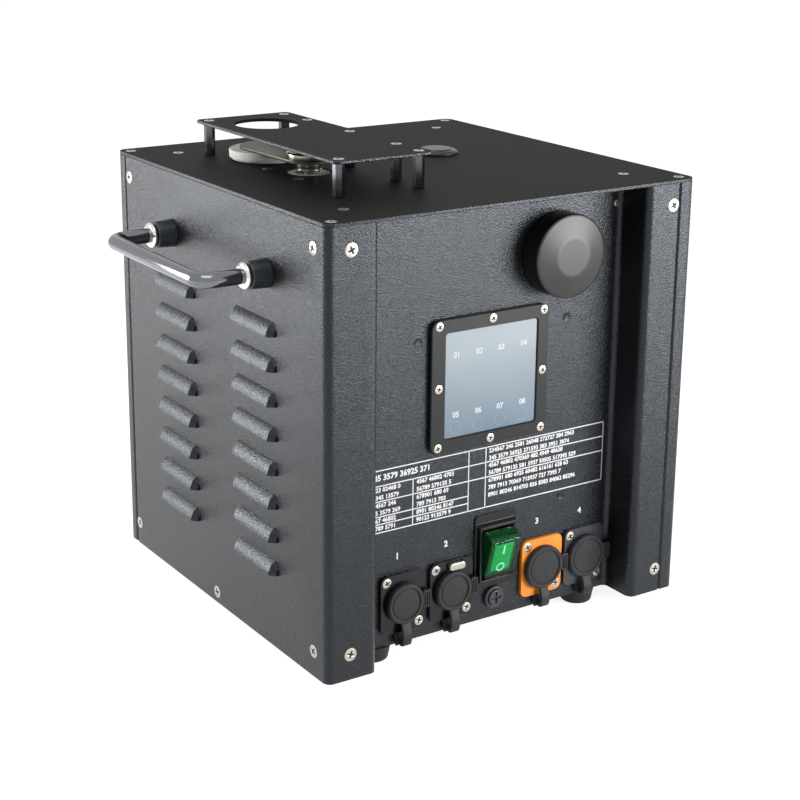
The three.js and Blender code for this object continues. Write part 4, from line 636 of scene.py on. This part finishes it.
turnedPieces = [
    dict(node="cap_plug", finish=plugCeramic, slot="white_plug", soft=0.2, segments=96, profile=[
        (0, 0.3), (18.2, 0.3), (18.6, 0.6), (18.6, 1.2), (19.5, 1.3), (19.7, 1.7), (19.7, 5.2), (19.3, 5.6),
        (0, 5.6)]),
    dict(node="cap_hub", finish=turnedSteel, slot="turned_steel", soft=0.12, segments=80, profile=[
        (0, -4), (2.45, -4), (2.45, 0.7), (6.2, 0.7), (6.5, 1), (6.5, 1.5), (6, 1.6), (6, 2.3), (6.5, 2.4),
        (6.5, 5.3), (6.2, 5.6), (0, 5.6)]),
    dict(node="cap_arm_nut", finish=turnedSteel, slot="turned_steel", soft=0.2, segments=80, profile=[
        (0, 7.1), (11.5, 7.1), (11.5, 9.7), (10.9, 10.3), (8.2, 10.3), (7.5, 9.8), (7.5, 8.7), (3, 8.7),
        (3, 9.6), (2.6, 9.8), (0, 9.8)]),
    dict(node="top_blanking_plug", finish=grainedAbs, slot="black_plastic", soft=0.3, segments=80, profile=[
        (0, -6), (6.8, -6), (6.8, 0), (11.2, 0), (11.2, 1.2), (10.1, 2.2), (8.3, 2.25), (8, 2.9), (7, 3),
        (0, 3)]),
]
for p in turnedPieces:
    shells = turnedOnLid(p["node"], p["profile"], p["soft"], p["segments"])
    dressed(p["node"], shells, p["finish"], p["slot"])
bossProfile = [(7.2, -1.1), (10.6, -1.1), (10.8, -0.8), (10.6, -0.4), (7.4, -0.4), (7.2, -0.6)]
makePiece("servoBossRing", turnedOnLid("cap_hub", bossProfile, 0.1, closed=True), "chassis", plugCeramic)
print("stage: top pieces")

# Feet: a bore for the screw, a round-edged sole and a slight draft, as (radius, height).
footProfile = [(0, -3.5), (3.5, -3.5), (3.5, -7.8), (3.7, -8), (7.2, -8), (8.2, -7.2), (9.5, -0.3), (9.3, 0),
               (0, 0)]
for end in ("front", "back"):
    for word in ("left", "right"):
        node = f"{end}_{word}_foot"
        middle = span(node)[2]
        shell = turned(footProfile, "z", (middle[0], middle[1], 0), 56, 0.35)
        dressed(node, [shell], footRubber, "black_rubber")

# Filler cap: a flat middle, a shallow cone, a small shoulder and a straight skirt over the neck.
# Two close points keep its inside corner nearly sharp, clear of the neck's rim.
filler = dict(flatShare=0.46, flat=0.1, cone=2.1, shoulder=2.5, roof=3.1, skirt=13.7, bore=17.3, soft=1.2)
capLow, capHigh, capMiddle = span("filler_cap")
capRadius = (capHigh[0] - capLow[0]) / 2
flat, roof, skirt, bore = (filler[key] for key in ("flat", "roof", "skirt", "bore"))
fillerProfile = [(0, flat), (capRadius * filler["flatShare"], flat), (capRadius - 1.0, filler["cone"]),
                 (capRadius - 0.1, filler["shoulder"]), (capRadius, roof + 0.3), (capRadius, skirt - 0.4),
                 (capRadius - 0.4, skirt), (bore, skirt), (bore, roof + 0.3), (bore, roof),
                 (bore - 0.4, roof), (0, roof)]
fillerPlace = (capMiddle[0], capLow[1], capMiddle[2])
fillerShell = turned(fillerProfile, "y", fillerPlace, 112, filler["soft"])
dressed("filler_cap", [fillerShell], grainedAbs, "black_plastic", sharp=60)
finished("filler_neck", zincSheet)

# Display
bezel = dict(corner=5.0, edge=0.4, windowCorner=1.5, gap=0.15, screwXs=(4.4, 0.7, -3.3),
             screwZs=(3.2, -0.5, -3.2))
bezelLow, bezelHigh, bezelMiddle = span("display_bezel")
windowLow, windowHigh = span("display_window")[:2]


# Rounded loops: the window's edge, the front face, the outer edge and the back, closed on itself.
def bezelShell():
    edge, gap = bezel["edge"], bezel["gap"]

    def around(low, high, corner, grow):
        return roundedLoop(low[0] - grow, high[0] + grow, low[2] - grow, high[2] + grow, corner + grow)

    inner = [around(windowLow, windowHigh, bezel["windowCorner"], grow) for grow in (gap, gap + edge)]
    outer = [around(bezelLow, bezelHigh, bezel["corner"], -inset) for inset in (edge, 0)]
    loops = [*inner, *outer, outer[1], inner[0]]
    front, back = bezelLow[1], bezelHigh[1]
    return stacked(loops, [front + edge, front, front, front + edge, back, back], "y", closed=True)


dressed("display_bezel", [bezelShell()], satinPlate, "black_plastic", sharp=30)
finished("display_window", windowAcrylic)
bezelMarks = np.array([bezelLow, bezelMiddle, bezelHigh])
screwXs = tuple(bezelMarks[:, 0] + bezel["screwXs"])
screwZs = tuple(bezelMarks[:, 2] + bezel["screwZs"])
bezelScrews = [(x, bezelLow[1], z) for x in screwXs for z in screwZs if (x, z) != (screwXs[1], screwZs[1])]
screwHeads("bezelScrews", bezelScrews, "y", -1, headRadius["bezel"])


# Each rectangle (x0, x1, z0, z1) becomes a thin closed plate on the panel.
def bars(name, rectangles, level, height, finish):
    r = np.asarray(rectangles, float)
    corners = np.array([[0, 2], [1, 2], [1, 3], [0, 3]])
    flat = np.stack([r[:, corners[:, 0]], r[:, corners[:, 1]]], -1)
    front = np.concatenate([flat[..., :1], np.full_like(flat[..., :1], level - height), flat[..., 1:]], -1)
    back = front + np.array([0, height + 0.05, 0])
    faces = [[0, 1, 2, 3], [7, 6, 5, 4], [0, 4, 5, 1], [1, 5, 6, 2], [2, 6, 7, 3], [3, 7, 4, 0]]
    shells = [(np.concatenate([f, b]), faces) for f, b in zip(front, back)]
    return makePiece(name, shells, "chassis", finish)


lettering = dict(scale=1.4, weight=0.045)


# Rows (text, x, z, height) of plain figures set flat on the panel, as one piece.
def printedText(name, rows, level, finish, align="CENTER", height=0.04):
    shells = []
    for text, x, z, size in rows:
        curve = bpy.data.curves.new(name + "Outline", "FONT")
        curve.body = text
        curve.size = size * lettering["scale"]
        curve.extrude = height / 2
        curve.resolution_u = 2
        curve.offset = size * lettering["weight"]
        curve.align_x = align
        curve.align_y = "CENTER"
        holder = bpy.data.objects.new(name + "Outline", curve)
        bpy.context.scene.collection.objects.link(holder)
        bpy.context.view_layer.update()
        mesh = bpy.data.meshes.new_from_object(holder.evaluated_get(bpy.context.evaluated_depsgraph_get()))
        bpy.data.objects.remove(holder)
        points = np.zeros(len(mesh.vertices) * 3)
        mesh.vertices.foreach_get("co", points)
        points = points.reshape(-1, 3)
        flat = np.stack([x + points[:, 0], level - height / 2 - points[:, 2], z + points[:, 1]], 1)
        shells.append((flat, [list(p.vertices) for p in mesh.polygons]))
        bpy.data.meshes.remove(mesh)
    return makePiece(name, shells, "chassis", finish)


# The table's lines by their x or height, and the left ends and sizes of its figures.
table = dict(left=34.0, right=180.0, top=92.8, bottom=60.9, line=0.55, depth=0.05, rows=(84.9, 77.0),
             lowRows=(69.1, 65.2), splits=(61.0, 94.2, 104.6), figureXs=(36.5, 63.4, 106.8), figure=2.25,
             title=(36.5, 89.2, 3.0), leftZs=(83.1, 79.2, 75.2, 71.3, 67.3, 63.3),
             rightZs=(90.9, 87.0, 83.1, 79.2, 75.2, 71.3, 67.4))
left, right, top, bottom, line = (table[key] for key in ("left", "right", "top", "bottom", "line"))
inset = line * 0.05  # sets the uprights' faces off those of the rows
ruled = [(left, right + line, z, z + line) for z in (bottom, top)]
ruled += [(left, right, z, z + line) for z in table["rows"]]
ruled += [(left, table["splits"][1], z, z + line) for z in table["lowRows"]]
uprights = [(x, top) for x in (*table["splits"][1:], right)] + [(table["splits"][0], table["rows"][0])]
ruled += [(x + inset, x + line - inset, bottom + inset, z + line - inset) for x, z in uprights]
bars("printedTable", ruled, panel, table["depth"], printInk)


# Plain figures in groups of uneven length, as many characters as asked for.
def figureRow(count, start):
    groups = ("".join(str((start + i * k) % 10) for i in range(3 + (start + k) % 4)) for k in range(1, 30))
    return " ".join(groups)[:count].strip()


firstX, secondX, thirdX = table["figureXs"]
size = table["figure"]
figures = [(figureRow(18, 3), *table["title"])]
figures += [(figureRow(12 - i % 3, i), firstX, z, size) for i, z in enumerate(table["leftZs"])]
figures += [(figureRow(15 - i % 4, i + 4), secondX, z, size) for i, z in enumerate(table["leftZs"])]
figures += [(figureRow(38 - 3 * (i % 3), i + 2), thirdX, z, size) for i, z in enumerate(table["rightZs"])]
printedText("printedFigures", figures, panel, printInk, "LEFT")

# Two rows of four key numbers on the window, and a ring under each of the lower four.
keys = dict(xs=(84.7, 98.2, 111.4, 125.2), zs=(144.6, 114.2), size=2.8, ringZ=107.6,
            ring=[(3.0, 0.0), (3.3, 0.0), (3.3, -0.03), (3.0, -0.03)])
windowFace = windowLow[1]
keyPlaces = [(x, z) for z in keys["zs"] for x in keys["xs"]]
keyFigures = [(f"{i + 1:02d}", x, z, keys["size"]) for i, (x, z) in enumerate(keyPlaces)]
printedText("displayFigures", keyFigures, windowFace, faintInk, height=0.03)
keyRings = [turned(keys["ring"], "y", (x, windowFace, keys["ringZ"]), 48, closed=True) for x in keys["xs"]]
makePiece("displayKeyRings", keyRings, "chassis", keyInk)

# Three painted-over stud marks: flat hexagons with a raised rim, as (radius, distance behind the front).
studs = dict(places=[(63.3, 153.4), (153.1, 153.4), (153.2, 57.6)],
             profile=[(0, 20.85), (2.0, 20.85), (2.3, 20.7), (2.6, 20.85), (2.7, 21.05), (0, 21.1)])
makePiece("panelStudMarks", [turned(studs["profile"], "y", (x, 0, z), 6) for x, z in studs["places"]],
          "chassis", texturedCoat, "textured_black_paint", sharp=60)
print("stage: panel")

# Sockets and their caps
sockets = [
    dict(node="dmx_in", ring=9.2, cap=10.5, tab=4.6, finish=glossNylon, slot="gloss_black_plastic"),
    dict(node="dmx_out", ring=9.2, cap=10.5, tab=4.0, finish=glossNylon, slot="gloss_black_plastic"),
    dict(node="power_in", ring=10.2, cap=11.6, tab=3.9, finish=orangeNylon, slot="orange_plastic"),
    dict(node="power_out", ring=10.2, cap=11.6, tab=4.4, finish=greyNylon, slot="dark_grey_plastic"),
]
capForm = dict(front=15.6, back=18.8, dish=0.35, groove=0.75, roof=1.5, play=0.2, tabHalf=4.6, ribHalf=0.35,
               strapHalf=2.6, strapThin=0.7, hingeY=17.2, hingeZ=1.2, knuckle=1.2)


# A turned crown with a ring groove, a ribbed pull tab, and a strap carried down to the hinge.
def capShells(s):
    x, z, r, f, back = s["x"], s["z"], s["cap"], capForm["front"], capForm["back"]
    dish, groove, roof = (f + capForm[key] for key in ("dish", "groove", "roof"))
    bore = s["ring"] + capForm["play"]
    crown = turned([(0, dish), (r - 2.9, dish), (r - 2.7, groove), (r - 2.2, groove), (r - 2, f),
                    (r - 0.7, f), (r, f + 0.7), (r, back - 0.2), (r - 0.2, back), (bore, back),
                    (bore, roof), (0, roof)], "y", (x, 0, z), 96, 0.25)
    h, rib = capForm["tabHalf"], capForm["ribHalf"]
    tabStart, tabEnd = x + s["ring"] + 0.75, x + r + s["tab"]
    shells = [crown, roundedSlab(tabStart, tabEnd, z - h, z + h, f + 0.5, f + 2.4, "y", 1.2, 0.45)]
    for k in (1, 2, 3):
        at = x + r + (s["tab"] + 0.2) * k / 4
        shells.append(roundedSlab(at - rib, at + rib, z - h + 1, z + h - 1, f, f + 1, "y", 0.34, 0.2, 3))
    low, half, thin, knuckle = z - r, *(capForm[key] for key in ("strapHalf", "strapThin", "knuckle"))
    path = smoothPath([(x, 16.9, low + 1), (x, 16.6, low - 0.4), (x, 15.2, low * 0.62 + 0.4),
                       (x, 14.9, low * 0.35 + 0.6), (x, 15.7, 1.4), (x, 16.6, 0.75)], 28)
    step = np.gradient(path, axis=0)
    step /= np.linalg.norm(step, axis=1, keepdims=True)
    sides = np.tile([1.0, 0, 0], (len(path), 1))
    section = roundedLoop(-half, half, -thin, thin, 0.3, 3)
    shells.append(carried(section, path, sides, np.cross(sides, step)))
    pin = [(0, -half), (knuckle - 0.2, -half), (knuckle, 0.2 - half), (knuckle, half - 0.2),
           (knuckle - 0.2, half), (0, half)]
    shells.append(turned(pin, "x", (x, capForm["hingeY"], capForm["hingeZ"]), 28))
    return shells


flange = dict(height=31.0, screwX=9.5, screwZ=12.0, screwDepth=2.0, figureX=-2.5, figureZ=46.6, figure=3.2)
for s in sockets:
    low, high, middle = span(s["node"] + "_socket")
    s["x"], s["z"] = middle[0], high[2] - flange["height"] / 2
    flangeLow = toFrame((0, 0, high[2] - flange["height"]))[2]
    finished(s["node"] + "_socket", s["finish"], rounded=0.25, below=(flangeLow, capRubber))
    dressed(s["node"] + "_cap", capShells(s), capRubber, "grey_rubber", sharp=48)
    corners = [(s["x"] + k * flange["screwX"], panel - flange["screwDepth"], s["z"] - k * flange["screwZ"])
               for k in (-1, 1)]
    screwHeads(camelName(s["node"]) + "SocketScrews", corners, "y", -1, headRadius["socket"])
socketFigures = [(str(i + 1), s["x"] + flange["figureX"], flange["figureZ"], flange["figure"])
                 for i, s in enumerate(sockets)]
printedText("socketFigures", socketFigures, panel, printInk)
latch = dict(corner=1.6, edge=0.4)
low, high = span("dmx_out_latch")[:2]
latchShell = roundedSlab(low[0], high[0], low[2], high[2], low[1], high[1], "y", latch["corner"],
                         latch["edge"])
dressed("dmx_out_latch", [latchShell], nickelPlate, "bright_latch", sharp=50)
print("stage: sockets")

# Switch and fuse
finished("switch_body", glossNylon, rounded=0.3)

# Key and pad: half width, radius, face, back, edge. Boot: half width, radius, face, edge. Bar: half
# width, foot and top on the face. Ring: inner and outer radius, and its middle's height.
rocker = dict(x=111.5, y=19.5, z=36.5, tilt=math.radians(16), key=(8.15, 12.1, 5.05, 3.0, 0.6),
              pad=(5.8, 9.8, 5.7, 3.0, 0.5), boot=(9.6, 13.6, 7.2, 1.3), bootBack=1.0, bootWall=1.0,
              bar=(0.55, 2.6, 7.8), ring=(1.7, 2.6, -5.6), markDepth=0.25, markLift=5.68)


# Places forward of the pivot and up from it, turned about it by the tilt.
def tilted(across, forward, up):
    c, s = math.cos(rocker["tilt"]), math.sin(rocker["tilt"])
    return np.stack([rocker["x"] + across, rocker["y"] - forward * c - up * s,
                     rocker["z"] - forward * s + up * c], -1)


# A circle about the pivot, cut flat by the face and by the back, then tilted.
def rockerLoop(radius, face, back):
    fore, rear = math.acos(face / radius), math.acos(-back / radius)
    angle = np.concatenate([np.linspace(fore, rear, 4), np.linspace(-rear, -fore, 4)])
    return tilted(0 * angle, radius * np.cos(angle), radius * np.sin(angle))[:, 1:]


# The side outline stacked across the width, drawn in at both ends as a round edge.
def rockerSolid(half, radius, face, back, edge):
    inset, rise = rolledEdge(edge, 6)
    loops = [softened(rockerLoop(radius - i, face - i, back), 1.1, 4, closed=True) for i in inset]
    levels = list(rocker["x"] - half + rise) + list(rocker["x"] + half - rise[::-1])
    return stacked(loops + loops[::-1], levels, "x")


# A bar for on near the top, and for off a ring near the foot, laid on the tilted face.
def rockerMarks():
    depth, lift = rocker["markDepth"], rocker["markLift"]
    half, barLow, barHigh = rocker["bar"]
    inner, outer, ringZ = rocker["ring"]
    bar = roundedSlab(-half, half, barLow, barHigh, 0, depth, "y", 0.25, 0.08, 3)
    ringProfile = [(inner, 0), (outer, 0), (outer, depth), (inner, depth)]
    ring = turned(ringProfile, "y", (0, 0, ringZ), 40, 0.06, closed=True)
    return [(tilted(points[..., 0], points[..., 1] + lift, points[..., 2]), faces)
            for points, faces in (bar, ring)]


# An open box: the side outline's front arc across the width, its ends fanned to a line at the back.
def bootShell(half, radius, face, edge):
    inset, rise = rolledEdge(edge, 6)
    levels = list(-half + rise) + list(half - rise[::-1])
    back = -rocker["bootBack"]
    rows = []
    for level, i in zip(levels, [*inset, *inset[::-1]]):
        r = radius - i
        sweep = np.linspace(math.acos(back / r), math.acos((face - i) / r), 3)
        sweep = np.concatenate([sweep, -sweep[::-1]])
        arc = softened(r * onCircle(sweep), 1.6, 6)
        rows.append(np.column_stack([np.full(len(arc), level), arc]))
    ends = [np.tile([row[0, 0], back, 0], (len(row), 1)) for row in (rows[0], rows[-1])]
    rows = np.stack([ends[0], *rows, ends[1]])
    return tilted(rows[..., 0], rows[..., 1], rows[..., 2]), gridFaces(*rows.shape[:2], wrapColumns=False)


dressed("switch_rocker", [rockerSolid(*rocker["key"])], rockerGreen, "green_rocker", sharp=40)
# The pad's brighter green is painted light on the key's face.
makePiece("switchRockerPad", [rockerSolid(*rocker["pad"])], "power_rocker", litFaceGreen, "green_rocker",
          sharp=40)
makePiece("switchRockerMarks", rockerMarks(), "power_rocker", whiteMark)
boot = dressed("switch_splash_cap", [bootShell(*rocker["boot"])], clearBoot, "clear_splash_cap", sharp=60)
wall = boot.modifiers.new("bootWall", "SOLIDIFY")
wall.thickness = rocker["bootWall"] * 0.001
wall.offset = -1

# Fuse holder as (radius, distance behind the case's front): a flange, a barrel and a blind bore.
fuseProfile = [(4.6, 18.8), (5.4, 18.8), (5.9, 19.3), (5.9, 21.0), (5.1, 21.0), (5.1, 45), (0, 45), (0, 38.8),
               (3.3, 38.8), (3.3, 20.0), (4.6, 20.0), (4.6, 18.8)]
fusePlace = span("fuse_holder")[2]
fuseShell = turned(fuseProfile, "y", (fusePlace[0], 0, fusePlace[2]), 64, 0.2)
dressed("fuse_holder", [fuseShell], greyNylon, "dark_grey_plastic")
finished("fuse_cap", greyNylon, rounded=0.15)
print("stage: switch and fuse")

# Inside
inside = [
    (stainless, "stainless_tube", "spark_nozzle heater_barrel feed_tube feed_auger"),
    (glassCloth, "heater_blanket", "heater_jacket"),
    (motorCan, "motor_can", "feed_motor"),
    (servoCast, "motor_can", "cap_servo"),
    (zincSheet, "galvanised_sheet", "hopper power_supply"),
    (solderMask, "circuit_board", "display_board"),
    (grainedAbs, "black_plastic", "blower_housing blower_impeller cooling_fan_frame cooling_fan_rotor"),
]
for finish, slotName, nodes in inside:
    for node in nodes.split():
        finished(node, finish)
print("stage: inside pieces")

# Floor, light and camera
studio = dict(floorSize=6.0, floorColour="#c4c4c4", floorGlow=0.84, ambient=0.3,
              cameraPlace=(-0.488977, -0.741310, 0.392735),
              cameraTurn=(73.918011, -0.585550, -33.393261), lens=78.071, shiftY=-0.08)


# One where a ray is of any of the kinds, else nought.
def anyRay(tree, first, *others):
    rays = addNode(tree, "ShaderNodeLightPath").outputs
    found = rays[first]
    for kind in others:
        links = {0: found, 1: rays[kind]}
        found = addNode(tree, "ShaderNodeMath", {"operation": "MAXIMUM"}, links).outputs["Value"]
    return found


# Pale paper that takes the shadow, and glows only for rays from the camera and from gloss.
paperFinish = bpy.data.materials.new("studioPaper")
paperFinish.use_nodes = True
tree = paperFinish.node_tree
tree.nodes.clear()
paper = addNode(tree, "ShaderNodeBsdfDiffuse", {"Color": (*toLinear(studio["floorColour"]), 1)})
dimmed = addNode(tree, "ShaderNodeMath", {"operation": "MULTIPLY", 1: studio["floorGlow"]},
                 {0: anyRay(tree, "Is Camera Ray", "Is Glossy Ray")})
glow = addNode(tree, "ShaderNodeEmission", {"Color": (1, 1, 1, 1)}, {"Strength": dimmed.outputs["Value"]})
both = addNode(tree, "ShaderNodeAddShader", links={0: paper.outputs["BSDF"], 1: glow.outputs["Emission"]})
addNode(tree, "ShaderNodeOutputMaterial", links={"Surface": both.outputs["Shader"]})

half = studio["floorSize"] / 2
floorMesh = bpy.data.meshes.new("studioFloor")
floorCorners = [(-half, -half, 0), (half, -half, 0), (half, half, 0), (-half, half, 0)]
floorMesh.from_pydata(floorCorners, [], [(0, 1, 2, 3)])
floorMesh.materials.append(paperFinish)
floor = bpy.data.objects.new("studioFloor", floorMesh)
bpy.context.scene.collection.objects.link(floor)

# The world looks white to the camera, gloss and clear pieces, and lights softly.
world = bpy.data.worlds.new("studioWorld")
bpy.context.scene.world = world
world.use_nodes = True
tree = world.node_tree
tree.nodes.clear()
shown = anyRay(tree, "Is Camera Ray", "Is Glossy Ray", "Is Transmission Ray")
white = addNode(tree, "ShaderNodeBackground", {"Color": (1, 1, 1, 1), "Strength": 1.0})
ambient = addNode(tree, "ShaderNodeBackground", {"Color": (1, 1, 1, 1), "Strength": studio["ambient"]})
mixed = addNode(tree, "ShaderNodeMixShader", links={
    0: shown, 1: ambient.outputs["Background"], 2: white.outputs["Background"]})
addNode(tree, "ShaderNodeOutputWorld", links={"Surface": mixed.outputs["Shader"]})

lamps = [
    dict(name="leftPanel", place=(-0.74, 0.6, 0.29), aim=(-0.14, 0.0, 0.16), size=(0.42, 0.5), power=9),
    dict(name="frontPanel", place=(0.5, -0.74, 0.22), aim=(0.0, -0.1, 0.16), size=(0.5, 0.36), power=8),
    dict(name="topPanel", place=(-0.5, -0.5, 1.5), aim=(0.0, 0.0, 0.2), size=(0.9, 0.9), power=6),
]
for lamp in lamps:
    data = bpy.data.lights.new(lamp["name"], "AREA")
    data.shape = "RECTANGLE"
    data.size, data.size_y = lamp["size"]
    data.energy = lamp["power"]
    holder = bpy.data.objects.new(lamp["name"], data)
    holder.location = lamp["place"]
    holder.rotation_mode = "QUATERNION"
    holder.rotation_quaternion = (Vector(lamp["aim"]) - Vector(lamp["place"])).to_track_quat("-Z", "Y")
    bpy.context.scene.collection.objects.link(holder)

cameraData = bpy.data.cameras.new("photoCamera")
cameraData.sensor_width = 36
cameraData.lens = studio["lens"]
cameraData.shift_y = studio["shiftY"]
camera = bpy.data.objects.new("photoCamera", cameraData)
camera.location = studio["cameraPlace"]
camera.rotation_euler = Euler([math.radians(a) for a in studio["cameraTurn"]], "XYZ")
bpy.context.scene.collection.objects.link(camera)
bpy.context.scene.camera = camera
bpy.context.scene.view_settings.view_transform = "Standard"

print("stage: studio")
